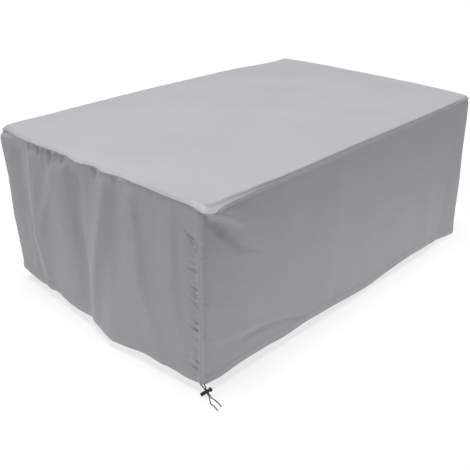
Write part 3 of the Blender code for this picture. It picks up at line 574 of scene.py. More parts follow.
def rim_pleats():
    rows = []
    for q in PLEATS:
        deep = q.deep * (2.6 if q.side == "side_left" else 1.0)
        wide = q.wide * (1.25 if q.side == "side_left" else 1.0)
        rows.append(Crease(q.side, q.s, -0.012, q.s + q.lean * 0.5, -0.012 - q.long * 0.5, q.s + q.lean, -0.012 - q.long,
                           deep, deep * 0.8, 0.0, wide, wide, 0.4))
    return rows


def hem_gathers():
    """Small upright ripples across the hem's stitch line, all round."""
    rows = []
    rng = np.random.default_rng(77)
    for name in ORDER:
        length = side_length(name)
        s = rng.uniform(0.01, 0.03)
        while s < length:
            high = 0.0011 * rng.uniform(0.3, 1.3) * (1 if rng.random() < 0.5 else -1)
            rows.append((name, s, high, rng.uniform(0.006, 0.012), rng.uniform(0.016, 0.036), rng.uniform(-0.008, 0.008)))
            s += rng.uniform(0.014, 0.040)
    return rows


SEAM_PUCKERS = seam_puckers()
RIM_PLEATS = rim_pleats()
HEM_GATHERS = hem_gathers()


def relief(p, t, z, tall):
    """Height of the finer shape: creases, pleats, seam bands, stitch lines, hem and unevenness."""
    p = p % ROUND
    d, up = t * tall, (1 - t) * tall
    total = np.zeros(p.shape)
    for line in CREASES + tuple(RIM_PLEATS) + tuple(SEAM_PUCKERS):
        s = wrapped(p - START[line.side], side_length(line.side) / 2)
        add_line(total, line, s, z, 3 if line in SEAM_PUCKERS else 8)
    total *= smooth(d / 0.012) * 0.8 + 0.2
    total -= rolled(p, d)
    # unevenness: broad, then fine
    calm = np.where((p > START["side_front"] + 0.3) & (p < START["side_right"] - 0.05), 0.55, 1.0)
    total += 0.0016 * calm * waves(p, z, 5, 14, 0.16, 0.42) * smooth(d / 0.06)
    total += 0.00030 * calm * waves(p, z, 6, 26, 0.030, 0.10) * smooth(d / 0.02)
    # the band under the seam of the top, with a stitch line near each edge
    tall_band, out_band = table_round(BANDS, "tall", p), table_round(BANDS, "out", p)
    total += out_band * (1 - smooth((d - tall_band + 0.002) / 0.004))
    plain = plain_seam(p)
    total -= 0.0005 * plain * bell(d - tall_band + 0.0030, 0.0015)
    total -= 0.0010 * plain * bell(d, 0.0022)
    # the upright seams
    for name in ORDER:
        q = wrapped(p - seam_at(CORNER_OF[name], t))
        sewn = smooth((t - 0.11) / 0.05)
        total += 0.0026 * (1 - smooth((np.abs(q) - 0.0060) / 0.0095)) * smooth((d - tall_band) / 0.004)
        total -= (0.0002 + 0.0008 * sewn) * bell(q, 0.0016)
        total += 0.0012 * (1 - sewn) * bell(q - 0.0010, 0.0034)
        total -= 0.0003 * bell(np.abs(q) - 0.0064, 0.0013)
    # the hem
    total += 0.0011 * (1 - smooth((up - HEM_TALL - 0.001) / 0.004))
    total += 0.0016 * np.sin(math.pi * np.clip(up / HEM_TALL, 0, 1)) ** 0.7 * (up < HEM_TALL)
    total -= 0.0011 * bell(up - HEM_TALL + 0.002, 0.0018)
    total -= 0.0016 * bell(up, 0.0030)
    for name, s0, high, wide, long, lean in HEM_GATHERS:
        s = wrapped(p - START[name], side_length(name) / 2)
        x = (s - s0 - lean * (up - HEM_TALL) / long) / wide
        near = np.abs(x) < 3
        total[near] += high * np.exp(-(x[near] ** 2)) * bell(up[near] - HEM_TALL, long * 0.6)
    return total


def painted_light_and_shade_of_side(p, t, tall):
    """Painted light and shade on the sides, paler (+) or darker (-) than the rest: painted highlights along the upright
    seams, on the band under the top and on the hem band, and painted shade in the seam and stitch lines and along the
    hem's edge.
    """
    p = p % ROUND
    d, up = t * tall, (1 - t) * tall
    total = np.zeros(p.shape)
    for name in ORDER:
        q = wrapped(p - seam_at(CORNER_OF[name], t))
        sewn = smooth((t - 0.11) / 0.05)
        total += (0.25 + 0.45 * sewn) * (1 - smooth((np.abs(q) - 0.012) / 0.010))
        total += 0.60 * (1 - sewn) * bell(q - 0.0010, 0.0036)
        total -= (0.10 + 0.45 * sewn) * bell(q, 0.0017)
    total += 0.12 * (1 - smooth((up - HEM_TALL) / 0.004))
    total -= 0.45 * bell(up - HEM_TALL + 0.002, 0.0019)
    total -= 0.35 * bell(up, 0.0024)
    tall_band = table_round(BANDS, "tall", p)
    plain = plain_seam(p)
    s = wrapped(p - START["side_front"], 1.0)
    lipped = np.interp(s, (-0.30, -0.02, 0.02, 0.16, 0.34), (0, 0, 1, 1, 0))
    front = np.interp(s, (-0.02, 0.04, 2.05, 2.16), (0, 1, 1, 0))
    total -= plain * (0.35 * (1 - 0.6 * lipped)) * bell(d - tall_band, 0.0018)
    total -= plain * (0.50 - 0.35 * front) * (1 - lipped) * bell(d, 0.0030)
    total += (0.25 + 0.75 * front) * plain * (1 - smooth((d - tall_band + 0.0020) / 0.0020))
    return total


def surface(p, t, deeper=0.0):
    """Points of the visible cloth round the sides, and the directions out of it."""
    e = 0.0015
    base = skirt(p, t)
    tall = drop_at(p)
    dp = skirt(p + e, t) - skirt(p - e, t)
    dt = skirt(p, np.clip(t + e, 0, 1)) - skirt(p, np.clip(t - e, 0, 1))
    n = np.cross(dp, -dt)
    n /= np.linalg.norm(n, axis=-1, keepdims=True)
    h = relief(p, t, base[..., 2], tall) - deeper
    return base + n * h[..., None], n


# ---------------------------------------------------------------- mesh helpers
def ladder(total, first, count, grow, most, last=None, last_count=None):
    """Distances from 0 to total: `count` steps of `first` at each end, growing to `most` in the middle."""
    def end(step, n):
        run, at = [0.0], 0.0
        for _ in range(n):
            at += step
            run.append(at)
        while step < most:
            step = min(most, step * grow)
            at += step
            run.append(at)
        return run
    a, b = end(first, count), end(last or first, last_count or count)
    gap = total - a[-1] - b[-1]
    n = max(1, round(gap / most))
    middle = [a[-1] + gap * i / n for i in range(1, n)]
    return np.array(a + middle + [total - x for x in reversed(b)])


def grid_mesh(name, points, uv, tone, flip=False, skip=None):
    """A mesh from a grid of points (rows, columns, 3), with its flat pattern in metres as its UV map, and its tone of
    painted light and shade.
    """
    rows, columns = points.shape[:2]
    index = np.arange(rows * columns).reshape(rows, columns)
    quads = np.stack([index[:-1, :-1], index[1:, :-1], index[1:, 1:], index[:-1, 1:]], -1).reshape(-1, 4)
    if skip is not None:
        quads = quads[~skip.reshape(-1)]
    if flip:
        quads = quads[:, ::-1]
    mesh = bpy.data.meshes.new(name)
    mesh.from_pydata(points.reshape(-1, 3).tolist(), [], quads.tolist())
    layer = mesh.uv_layers.new(name="cloth")
    loop_vertex = np.zeros(len(mesh.loops), int)
    mesh.loops.foreach_get("vertex_index", loop_vertex)
    layer.data.foreach_set("uv", uv.reshape(-1, 2)[loop_vertex].astype(np.float32).ravel())
    mesh.attributes.new("tone", "FLOAT", "POINT").data.foreach_set("value", tone.reshape(-1).astype(np.float32))
    mesh.shade_smooth()
    mesh.update()
    return mesh


def new_object(name, mesh, materials=()):
    obj = bpy.data.objects.new(name, mesh)
    bpy.context.scene.collection.objects.link(obj)
    for m in materials:
        mesh.materials.append(m)
    return obj


def thicken(obj, thickness):
    mod = obj.modifiers.new("thickness", "SOLIDIFY")
    mod.thickness = thickness
    mod.offset = -1
    mod.use_even_offset = False
    mod.use_quality_normals = True
    return mod


# ---------------------------------------------------------------- materials
def nodes_of(name):
    material = bpy.data.materials.new(name)
    material.use_nodes = True
    tree = material.node_tree
    tree.nodes.clear()
    out = tree.nodes.new("ShaderNodeOutputMaterial")
    shader = tree.nodes.new("ShaderNodeBsdfPrincipled")
    tree.links.new(shader.outputs["BSDF"], out.inputs["Surface"])
    return material, tree, shader


def maths(tree, operation, a, b=None, c=None):
    node = tree.nodes.new("ShaderNodeMath")
    node.operation = operation
    for i, value in enumerate((a, b, c)):
        if value is None:
            continue
        if isinstance(value, (int, float)):
            node.inputs[i].default_value = value
        else:
            tree.links.new(value, node.inputs[i])
    return node.outputs[0]


def noise(tree, vector, scale, detail=3.0, roughness=0.5, distortion=0.0):
    node = tree.nodes.new("ShaderNodeTexNoise")
    node.inputs["Scale"].default_value = scale
    node.inputs["Detail"].default_value = detail
    node.inputs["Roughness"].default_value = roughness
    node.inputs["Distortion"].default_value = distortion
    tree.links.new(vector, node.inputs["Vector"])
    return node.outputs["Fac"]


def spread_to(tree, value, low, high, from_low=0.3, from_high=0.7):
    node = tree.nodes.new("ShaderNodeMapRange")
    node.inputs["From Min"].default_value = from_low
    node.inputs["From Max"].default_value = from_high
    node.inputs["To Min"].default_value = low
    node.inputs["To Max"].default_value = high
    tree.links.new(value, node.inputs["Value"])
    return node.outputs["Result"]


def mixed(tree, factor, a, b, mode="MIX"):
    node = tree.nodes.new("ShaderNodeMix")
    node.data_type = "RGBA"
    node.blend_type = mode
    for socket, value in ((node.inputs[0], factor), (node.inputs[6], a), (node.inputs[7], b)):
        if isinstance(value, (int, float)):
            socket.default_value = value
        elif isinstance(value, tuple):
            socket.default_value = (*value, 1)
        else:
            tree.links.new(value, socket)
    return node.outputs[2]


def bumped(tree, height, strength, distance, normal=None):
    node = tree.nodes.new("ShaderNodeBump")
    node.inputs["Strength"].default_value = strength
    node.inputs["Distance"].default_value = distance
    tree.links.new(height, node.inputs["Height"])
    if normal is not None:
        tree.links.new(normal, node.inputs["Normal"])
    return node.outputs["Normal"]


YARN = 0.00052   # one yarn of the weave, in a basket of two and two


def cloth_material(name, colour, dark):
    """Woven polyester with a dull silver-grey coating: fine basket weave, faint handling marks, soft gloss."""
    material, tree, shader = nodes_of(name)
    uv = tree.nodes.new("ShaderNodeUVMap")
    uv.uv_map = "cloth"
    place = tree.nodes.new("ShaderNodeTexCoord").outputs["Object"]
    split = tree.nodes.new("ShaderNodeSeparateXYZ")
    tree.links.new(uv.outputs["UV"], split.inputs[0])
    # weave: warp and weft cross over in a basket of two
    turn = math.pi / (2 * YARN)
    over = maths(tree, "SINE", maths(tree, "MULTIPLY", split.outputs["X"], turn))
    under = maths(tree, "SINE", maths(tree, "MULTIPLY", split.outputs["Y"], turn))
    basket = maths(tree, "MULTIPLY", over, under)
    yarn_x = maths(tree, "ABSOLUTE", maths(tree, "SINE", maths(tree, "MULTIPLY", split.outputs["X"], math.pi / YARN)))
    yarn_y = maths(tree, "ABSOLUTE", maths(tree, "SINE", maths(tree, "MULTIPLY", split.outputs["Y"], math.pi / YARN)))
    upper = maths(tree, "GREATER_THAN", basket, 0.0)
    yarns = maths(tree, "ADD", maths(tree, "MULTIPLY", upper, yarn_x),
                  maths(tree, "MULTIPLY", maths(tree, "SUBTRACT", 1.0, upper), yarn_y))
    weave = maths(tree, "ADD", maths(tree, "MULTIPLY", maths(tree, "ABSOLUTE", basket), 0.6),
                  maths(tree, "MULTIPLY", yarns, 0.4))
    # unevenness of the coating, faint rubbed places and slubs
    cloud = noise(tree, place, 2.3, 4.0, 0.55)
    grain = noise(tree, place, 46.0, 3.0, 0.6)
    slub = tree.nodes.new("ShaderNodeMapping")
    slub.inputs["Scale"].default_value = (22.0, 900.0, 1.0)
    tree.links.new(uv.outputs["UV"], slub.inputs["Vector"])
    thread = noise(tree, slub.outputs["Vector"], 1.0, 1.0, 0.5)
    tone = mixed(tree, spread_to(tree, cloud, 0.0, 1.0, 0.35, 0.65), tuple(c * 0.972 for c in colour), colour)
    tone = mixed(tree, spread_to(tree, grain, 0.0, 0.10, 0.35, 0.75), tone, dark)
    tone = mixed(tree, spread_to(tree, thread, 0.0, 0.035, 0.45, 0.75), tone, tuple(min(1, c * 1.25) for c in colour))
    tone = mixed(tree, spread_to(tree, weave, 0.16, 0.0, 0.0, 0.6), tone, dark)
    # painted light and shade from the tone attribute: paler where it is above zero, darker where it is below
    painted_light_node = tree.nodes.new("ShaderNodeAttribute")
    painted_light_node.attribute_name = "tone"
    tone = mixed(tree, spread_to(tree, painted_light_node.outputs["Fac"], 0.0, 1.0, 0.0, 1.0), tone, tuple(c * 1.16 for c in colour))
    tone = mixed(tree, spread_to(tree, painted_light_node.outputs["Fac"], 1.0, 0.0, -1.0, 0.0), tone, tuple(c * 0.62 for c in colour))
    tree.links.new(tone, shader.inputs["Base Color"])
    rough = spread_to(tree, cloud, 0.50, 0.60, 0.3, 0.7)
    rough = maths(tree, "ADD", rough, spread_to(tree, grain, -0.03, 0.05, 0.3, 0.7))
    tree.links.new(rough, shader.inputs["Roughness"])
    shader.inputs["Specular IOR Level"].default_value = 0.42
    shader.inputs["Sheen Weight"].default_value = 0.10
    shader.inputs["Sheen Roughness"].default_value = 0.45
    wrinkle = noise(tree, place, 24.0, 4.0, 0.5, 0.6)
    normal = bumped(tree, wrinkle, 0.30, 0.0012)
    normal = bumped(tree, grain, 0.18, 0.0005, normal)
    normal = bumped(tree, weave, 0.22, 0.00012, normal)
    tree.links.new(normal, shader.inputs["Normal"])
    return material


def thread_material():
    material, tree, shader = nodes_of("sewing_thread")
    place = tree.nodes.new("ShaderNodeTexCoord").outputs["Object"]
    grain = noise(tree, place, 2400.0, 2.0)
    tree.links.new(mixed(tree, grain, (0.33, 0.333, 0.345), (0.50, 0.503, 0.515)), shader.inputs["Base Color"])
    tree.links.new(spread_to(tree, grain, 0.5, 0.75), shader.inputs["Roughness"])
    tree.links.new(bumped(tree, grain, 0.3, 0.0001), shader.inputs["Normal"])
    shader.inputs["Sheen Weight"].default_value = 0.2
    return material


def cord_material():
    """Black braided polyester."""
    material, tree, shader = nodes_of("braided_cord")
    uv = tree.nodes.new("ShaderNodeUVMap")
    uv.uv_map = "cloth"
    split = tree.nodes.new("ShaderNodeSeparateXYZ")
    tree.links.new(uv.outputs["UV"], split.inputs[0])
    place = tree.nodes.new("ShaderNodeTexCoord").outputs["Object"]
    fine = noise(tree, place, 3200.0, 2.0, 0.6)
    a = maths(tree, "SINE", maths(tree, "ADD", maths(tree, "MULTIPLY", split.outputs["X"], 3200.0),
                                  maths(tree, "MULTIPLY", split.outputs["Y"], 5200.0)))
    strands = maths(tree, "ADD", maths(tree, "MULTIPLY", a, 0.25), fine)
    tree.links.new(mixed(tree, spread_to(tree, strands, 0.0, 1.0, 0.2, 0.9), (0.006, 0.006, 0.0065), (0.022, 0.022, 0.023)),
                   shader.inputs["Base Color"])
    tree.links.new(spread_to(tree, fine, 0.55, 0.8), shader.inputs["Roughness"])
    shader.inputs["Sheen Weight"].default_value = 0.25
    shader.inputs["Sheen Roughness"].default_value = 0.4
    tree.links.new(bumped(tree, strands, 0.4, 0.00012), shader.inputs["Normal"])
    return material


def plastic_material(name, colour, roughness):
    """Black moulded plastic with a fine spark-eroded texture and faint handling scuffs."""
    material, tree, shader = nodes_of(name)
    place = tree.nodes.new("ShaderNodeTexCoord").outputs["Object"]
    texture = noise(tree, place, 2600.0, 2.0, 0.5)
    scuff = noise(tree, place, 210.0, 4.0, 0.6, 0.4)
    tree.links.new(mixed(tree, spread_to(tree, scuff, 0.0, 0.5, 0.5, 0.8), colour, tuple(c * 2.1 for c in colour)),
                   shader.inputs["Base Color"])
    tree.links.new(spread_to(tree, scuff, roughness - 0.05, roughness + 0.12), shader.inputs["Roughness"])
    shader.inputs["Specular IOR Level"].default_value = 0.5
    tree.links.new(bumped(tree, texture, 0.18, 0.00008), shader.inputs["Normal"])
    return material


# one coated cloth made twice: the top's copy painted lighter and the sides' copy painted darker, for light that falls
# from above
TOP_CLOTH_PAINTED_LIGHTER = cloth_material("coated_cloth_top_painted_lighter", (0.432, 0.4285, 0.4530), (0.320, 0.317, 0.336))
SIDE_CLOTH_PAINTED_DARKER = cloth_material("coated_cloth_side_painted_darker", (0.352, 0.3490, 0.3700), (0.260, 0.2575, 0.274))
THREAD = thread_material()
CORD = cord_material()
LOCK = plastic_material("lock_plastic", (0.012, 0.012, 0.013), 0.34)
BUTTON = plastic_material("button_plastic", (0.009, 0.009, 0.0098), 0.40)


# ---------------------------------------------------------------- the four sides
def build_side(name):
    """One side: its cloth turned in at both upright seams and under the top, and folded up inside for the hem."""
    i = ORDER.index(name)
    first, last = CORNER_OF[name], CORNER_OF[ORDER[(i + 1) % 4]]
    long = SIDES[name].long
    length = side_length(name)
    across = ladder(length, 0.0012, 9, 1.26, 0.0108 if long else 0.0080) / length
    down = ladder(0.765, 0.0012, 16, 1.22, 0.0052, 0.0022, 18) / 0.765
    a, t = np.meshgrid(across, down)
    left = seam_at(first, t)
    right = seam_at(last, t)
    right = np.where(right < left, right + ROUND, right)
    gap = 0.00035
    p = left + gap + a * (right - left - 2 * gap)
    points, n = surface(p, t)
    tall = drop_at(p)
    uv = np.stack([p, -t * tall], -1)
    # painted light and shade: paler seams, band and hem band, and darker seam lines, stitch lines and hem edge
    tone = painted_light_and_shade_of_side(p, t, tall)
    # the hem: round the edge, then up inside
    edge, edge_n = points[-1], n[-1]
    rows, row_uv = [points], [uv]
    for angle in (40, 90, 140):
        turn = math.radians(angle)
        row = edge - edge_n * (HEM_GAP / 2 * (1 - math.cos(turn)))
        row = row + np.array([0, 0, -1.0]) * (HEM_GAP * 0.42 * math.sin(turn))
        rows.append(row[None])
        row_uv.append(uv[-1:] + np.array([0, -0.0012 * angle / 45]))
    inside = np.array([0.0, 0.004, 0.009, 0.015, 0.021, 0.027, 0.031, 0.0345, HEM_TALL + 0.0005, HEM_TALL + 0.003])
    for up in inside:
        tt = 1 - up / tall[-1]
        gap_here = 0.0017 + (HEM_GAP - 0.0017) * math.sin(math.pi * min(1, (up + 0.010) / (HEM_TALL + 0.010))) ** 0.6
        if up >= HEM_TALL - 0.003:
            gap_here = 0.0017
        row, _ = surface(p[-1], tt)
        rows.append((row - edge_n * gap_here)[None])
        row_uv.append(uv[-1:] + np.array([0, -0.006 - up]))
    grid, flat = np.concatenate(rows), np.concatenate(row_uv)
    tone = np.concatenate([tone[:1], tone] + [tone[-1:] * 0] * (len(rows) - 1))
    tone = np.concatenate([tone[:, :1], tone, tone[:, -1:]], 1)
    grid_n = np.concatenate([n] + [edge_n[None]] * (len(rows) - 1))
    # turned in along the top, and along both upright seams
    first_row = grid[:1] - grid_n[:1] * 0.006 + np.array([0, 0, 0.0004])
    grid = np.concatenate([first_row, grid])
    flat = np.concatenate([flat[:1] + np.array([0, 0.006]), flat])
    grid_n = np.concatenate([grid_n[:1], grid_n])
    inward = 0.009
    grid = np.concatenate([grid[:, :1] - grid_n[:, :1] * inward, grid, grid[:, -1:] - grid_n[:, -1:] * inward], 1)
    flat = np.concatenate([flat[:, :1] - np.array([inward, 0]), flat, flat[:, -1:] + np.array([inward, 0])], 1)
    # the cords come out of the hem through two small slits by the near corner
    skip = None
    if "near" in (first, last):
        skip = np.zeros((grid.shape[0] - 1, grid.shape[1] - 1), bool)
        middle = (grid[:-1, :-1] + grid[1:, 1:]) / 2
        edge_rows = np.arange(grid.shape[0] - 1)[:, None]
        bottom = (edge_rows >= len(down) + 1) & (edge_rows <= len(down) + 6)
        for out_x, out_y in ((0.0062, 0.0045), (-0.0015, 0.0165)):
            way = np.hypot(middle[..., 0] + LENGTH / 2 - out_x, middle[..., 1] + WIDTH / 2 - out_y)
            skip |= (way < 0.0046) & bottom
    mesh = grid_mesh(name + "_cloth", grid, flat, tone, flip=False, skip=skip)
    obj = new_object(name + "_cloth", mesh, [SIDE_CLOTH_PAINTED_DARKER])
    thicken(obj, SHEET)
    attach(obj, "cover")
    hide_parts(name)
    return obj


# ---------------------------------------------------------------- the top
def build_top():
    """The top: flat, with a soft border that rolls over the edge and laps the sides' seam."""
    xs = ladder(LENGTH, 0.0017, 22, 1.25, 0.0150) - LENGTH / 2
    ys = ladder(WIDTH, 0.0017, 22, 1.25, 0.0125) - WIDTH / 2
    x, y = np.meshgrid(xs, ys)
    dx, dy = LENGTH / 2 - np.abs(x), WIDTH / 2 - np.abs(y)
    # round the four corners in plan
    r = TOP_ROUND
    ax = np.clip(1 - dx / r, 0, 1)
    ay = np.clip(1 - dy / r, 0, 1)
    both = (ax > 0) & (ay > 0)
    nx = np.where(both, np.sign(x) * (LENGTH / 2 - r + r * ax * np.sqrt(1 - ay * ay / 2)), x)
    ny = np.where(both, np.sign(y) * (WIDTH / 2 - r + r * ay * np.sqrt(1 - ax * ax / 2)), y)
    # place round the pattern, turning smoothly at the corners, and distance from the edge
    along = np.where(dx > dy, dx - dy * dy / np.maximum(dx, 1e-6), -(dy - dx * dx / np.maximum(dy, 1e-6)))
    p = np.select(
        [(x < 0) & (y >= 0), (x < 0) & (y < 0), (x >= 0) & (y < 0)],
        [-along, START["side_front"] + along, START["side_right"] - along],
        START["side_back"] + along,
    ) % ROUND
    soft = 0.026
    qx, qy = np.abs(nx) - (LENGTH / 2 - soft), np.abs(ny) - (WIDTH / 2 - soft)
    edge = np.where((qx > 0) & (qy > 0), soft - np.hypot(qx, qy), np.minimum(LENGTH / 2 - np.abs(nx), WIDTH / 2 - np.abs(ny)))
    edge = np.maximum(edge, 0)
    wide = table_round(BORDERS, "wide", p)
    sunk = table_round(BORDERS, "sunk", p)
    second = table_round(BORDERS, "second", p)
    roll = table_round(BORDERS, "roll", p)
    z = CLOTH + (rim_z(np.hypot(dx, dy)) - CLOTH - roll * 0.35) * np.clip(1 - edge / wide, 0, 1) ** 1.25
    reach = np.clip(1 - edge / 0.10, 0, 1) ** 2
    z = z - table_round(RIMS, "low", p) * reach
    push = table_round(RIMS, "out", p) * reach - roll * np.clip(1 - edge / 0.05, 0, 1) ** 2
    ox, oy = outward(p)
    nx = nx + ox * push
    ny = ny + oy * push
    # the stitch lines of the border
    z = z - sunk * bell(edge - wide - 0.001, 0.0024) + 0.45 * sunk * bell(edge - wide + 0.0045, 0.0026)
    z = z - 0.4 * sunk * bell(edge - wide + second, 0.0018) * (second > 0.002)
    # unevenness, and short pulls from the border
    z = z + 0.0013 * waves(x + LENGTH, y, 11, 12, 0.30, 0.80) * smooth(edge / 0.10)
    z = z + 0.00022 * waves(x + LENGTH, y, 12, 22, 0.05, 0.14) * smooth(edge / 0.03)
    pull = waves(p, 0 * p, 13, 18, 0.022, 0.10)
    z = z + 0.0011 * pull * bell(edge - wide, 0.016) * np.where(p < WIDTH, 1.7, 0.55)
    uv = np.stack([x, y], -1)
    # painted shade on the top: darker lines along the border's stitch line and along the top's edge
    front = smooth((p - START["side_front"] - 0.06) / 0.16) * (1 - smooth((p - START["side_right"]) / 0.20))
    plain = plain_seam(p)
    s = wrapped(p - START["side_front"], 1.0)
    along_front = np.interp(s, (-0.04, 0.02, 0.06, 0.14, 2.00, 2.14), (0, 0.35, 0.75, 1.0, 1.0, 0))
    line_at = np.interp(s, (0.00, 0.03, 0.08, 0.15, 0.25, 0.40), (0.024, 0.019, 0.015, 0.012, 0.008, 0.004))
    tone = -0.30 * (1 - front) * (0.2 + 0.8 * plain) * bell(edge - wide - 0.001, 0.0028)
    tone = tone - along_front * bell(edge - line_at, 0.0056) - 0.22 * (1 - along_front) * plain * bell(edge - 0.0030, 0.0040)
    lip = bell(wrapped(p - START["side_front"] - 0.040), 0.024) * np.clip(1 - edge / 0.032, 0, 1) ** 2
    # the near corner's edge stands out over the cloth below it, like a lip
    grid = np.stack([nx + ox * lip * 0.004, ny + oy * lip * 0.006, z - lip * 0.0035], -1)
    # the edge turns down over the seam, then under
    rows, columns = grid.shape[:2]
    mesh = grid_mesh("top_cloth_sheet", grid, uv, tone, flip=True)
    bm = bmesh.new()
    bm.from_mesh(mesh)
    bm.verts.ensure_lookup_table()
    layer = bm.loops.layers.uv["cloth"]
    shade = bm.verts.layers.float["tone"]
    index = np.arange(rows * columns).reshape(rows, columns)
    loop = list(index[0, :-1]) + list(index[:-1, -1]) + list(index[-1, :0:-1]) + list(index[:0:-1, 0])
    centre_out = {}
    flat_p = p.reshape(-1)
    lipped = np.interp(s, (-0.10, 0.00, 0.16, 0.34), (0, 1, 1, 0)) * (s < 1.9)
    # painted shade on the turned-down edge of the top, and a painted highlight on the near corner's lip
    rim_painted_shade_and_highlight = (-0.55 * plain * (1 - lipped) * (1 - 0.5 * along_front) + 0.2 * lipped).reshape(-1)
    shade_of = {k: float(rim_painted_shade_and_highlight[k]) for k in loop}
    for k in loop:
        bx, by = outward(np.array([flat_p[k]]))
        centre_out[k] = Vector((float(bx[0]), float(by[0]), 0))
    previous = [bm.verts[k] for k in loop]
    first = [v.co.copy() for v in previous]
    for out, down in ((0.0011, -0.0010), (0.0016, -0.0026), (0.0012, -0.0042), (-0.0012, -0.0046)):
        ring = []
        for k, co in zip(loop, first):
            ring.append(bm.verts.new(co + centre_out[k] * out + Vector((0, 0, down))))
            ring[-1][shade] = shade_of[k]
        n = len(ring)
        for i in range(n):
            j = (i + 1) % n
            face = bm.faces.new((previous[i], ring[i], ring[j], previous[j]))
            face.smooth = True
            for corner in face.loops:
                corner[layer].uv = (corner.vert.co.x, corner.vert.co.y + corner.vert.co.z)
        previous = ring
    bmesh.ops.recalc_face_normals(bm, faces=bm.faces)
    up = sum(f.normal.z * f.calc_area() for f in bm.faces)
    if up < 0:
        bmesh.ops.reverse_faces(bm, faces=bm.faces)
    bm.to_mesh(mesh)
    bm.free()
    mesh.shade_smooth()
    obj = new_object("top_cloth_sheet", mesh, [TOP_CLOTH_PAINTED_LIGHTER])
    thicken(obj, SHEET)
    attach(obj, "cover")
    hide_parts("top_panel")
    return obj


# ---------------------------------------------------------------- stitches
def stitch_mesh(name, centres, ways, outs):
    """Many short stitches as one mesh: each a five-sided grain that dips in at both ends."""
    sides = 5
    vertices, faces = [], []
    for c, w, n in zip(centres, ways, outs):
        base = len(vertices)
        b = np.cross(w, n)
        half = STITCH_LONG / 2
        vertices.append(c - w * half - n * STITCH_R * 0.8)
        for k, along in enumerate((-0.30, 0.30)):
            for j in range(sides):
                a = 2 * math.pi * j / sides
                vertices.append(c + w * STITCH_LONG * along + (n * math.sin(a) + b * math.cos(a)) * STITCH_R)
        vertices.append(c + w * half - n * STITCH_R * 0.8)
        tip = base + 1 + 2 * sides
        for j in range(sides):
            k = (j + 1) % sides
            faces.append((base, base + 1 + k, base + 1 + j))
            faces.append((base + 1 + j, base + 1 + k, base + 1 + sides + k, base + 1 + sides + j))
            faces.append((tip, base + 1 + sides + j, base + 1 + sides + k))
    mesh = bpy.data.meshes.new(name)
    mesh.from_pydata([tuple(v) for v in vertices], [], faces)
    mesh.shade_smooth()
    mesh.update()
    return mesh


def build_stitches(name):
    """Stitch lines of one side: two under the top, one each side of its left seam, and the hem's."""
    i = ORDER.index(name)
    first, last = CORNER_OF[name], CORNER_OF[ORDER[(i + 1) % 4]]
    centres, ways, outs = [], [], []

    def lay(p, t):
        e = 0.0004
        points, n = surface(p, t)
        return points, n

    def line(p, t, skip_ends=2):
        points, n = lay(p, t)
        run = np.concatenate([[0], np.cumsum(np.linalg.norm(np.diff(points, axis=0), axis=1))])
        at = np.arange(STITCH_PITCH * skip_ends, run[-1] - STITCH_PITCH * skip_ends, STITCH_PITCH)
        c = np.stack([np.interp(at, run, points[:, k]) for k in range(3)], -1)
        m = np.stack([np.interp(at, run, n[:, k]) for k in range(3)], -1)
        m /= np.linalg.norm(m, axis=1, keepdims=True)
        ahead = np.stack([np.interp(at + 0.001, run, points[:, k]) for k in range(3)], -1)
        w = ahead - c
        w /= np.linalg.norm(w, axis=1, keepdims=True)
        centres.extend(c + m * 0.00016)
        ways.extend(w)
        outs.extend(m)

    left, right = float(seam_at(first, np.float64(0))), float(seam_at(last, np.float64(0)))
    if right < left:
        right += ROUND
    p = np.linspace(left + 0.004, right - 0.004, 420 if SIDES[name].long else 300)
    tall = drop_at(p)
    line(p, 0.0040 / tall)
    line(p, (table_round(BANDS, "tall", p) - 0.0045) / tall)
    left, right = float(seam_at(first, np.float64(1))), float(seam_at(last, np.float64(1)))
    if right < left:
        right += ROUND
    p = np.linspace(left + 0.004, right - 0.004, 420 if SIDES[name].long else 300)
    tall = drop_at(p)
    line(p, 1 - (HEM_TALL - 0.0020) / tall)
    t = np.linspace(0.03, 0.985, 220)
    for q in (-0.0060, 0.0060):
        line(seam_at(first, t) + q, t)
    obj = new_object(name + "_stitches", stitch_mesh(name + "_stitches", centres, ways, outs), [THREAD])
    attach(obj, "cover")
    return obj


# ---------------------------------------------------------------- cords
def lock_frame():
    z = LOCK_AXIS
    y = (CORD_FALL - CORD_FALL.dot(z) * z).normalized()
    x = y.cross(z)
    m = Matrix((x, y, z)).transposed().to_4x4()
    m.translation = LOCK_CENTRE
    return m


def smooth_route(points, step):
    ends = [2 * points[0] - points[1]] + points + [2 * points[-1] - points[-2]]
    fine = []
    for a, b, c, d in zip(ends, ends[1:], ends[2:], ends[3:]):
        for k in range(12):
            u = k / 12
            fine.append(0.5 * ((2 * b) + (c - a) * u + (2 * a - 5 * b + 4 * c - d) * u * u + (3 * b - a - 3 * c + d) * u ** 3))
    fine.append(points[-1])
    fine = np.array([tuple(p) for p in fine])
    run = np.concatenate([[0], np.cumsum(np.linalg.norm(np.diff(fine, axis=0), axis=1))])
    at = np.linspace(0, run[-1], max(4, round(run[-1] / step)) + 1)
    return [Vector([float(np.interp(a, run, fine[:, i])) for i in range(3)]) for a in at]


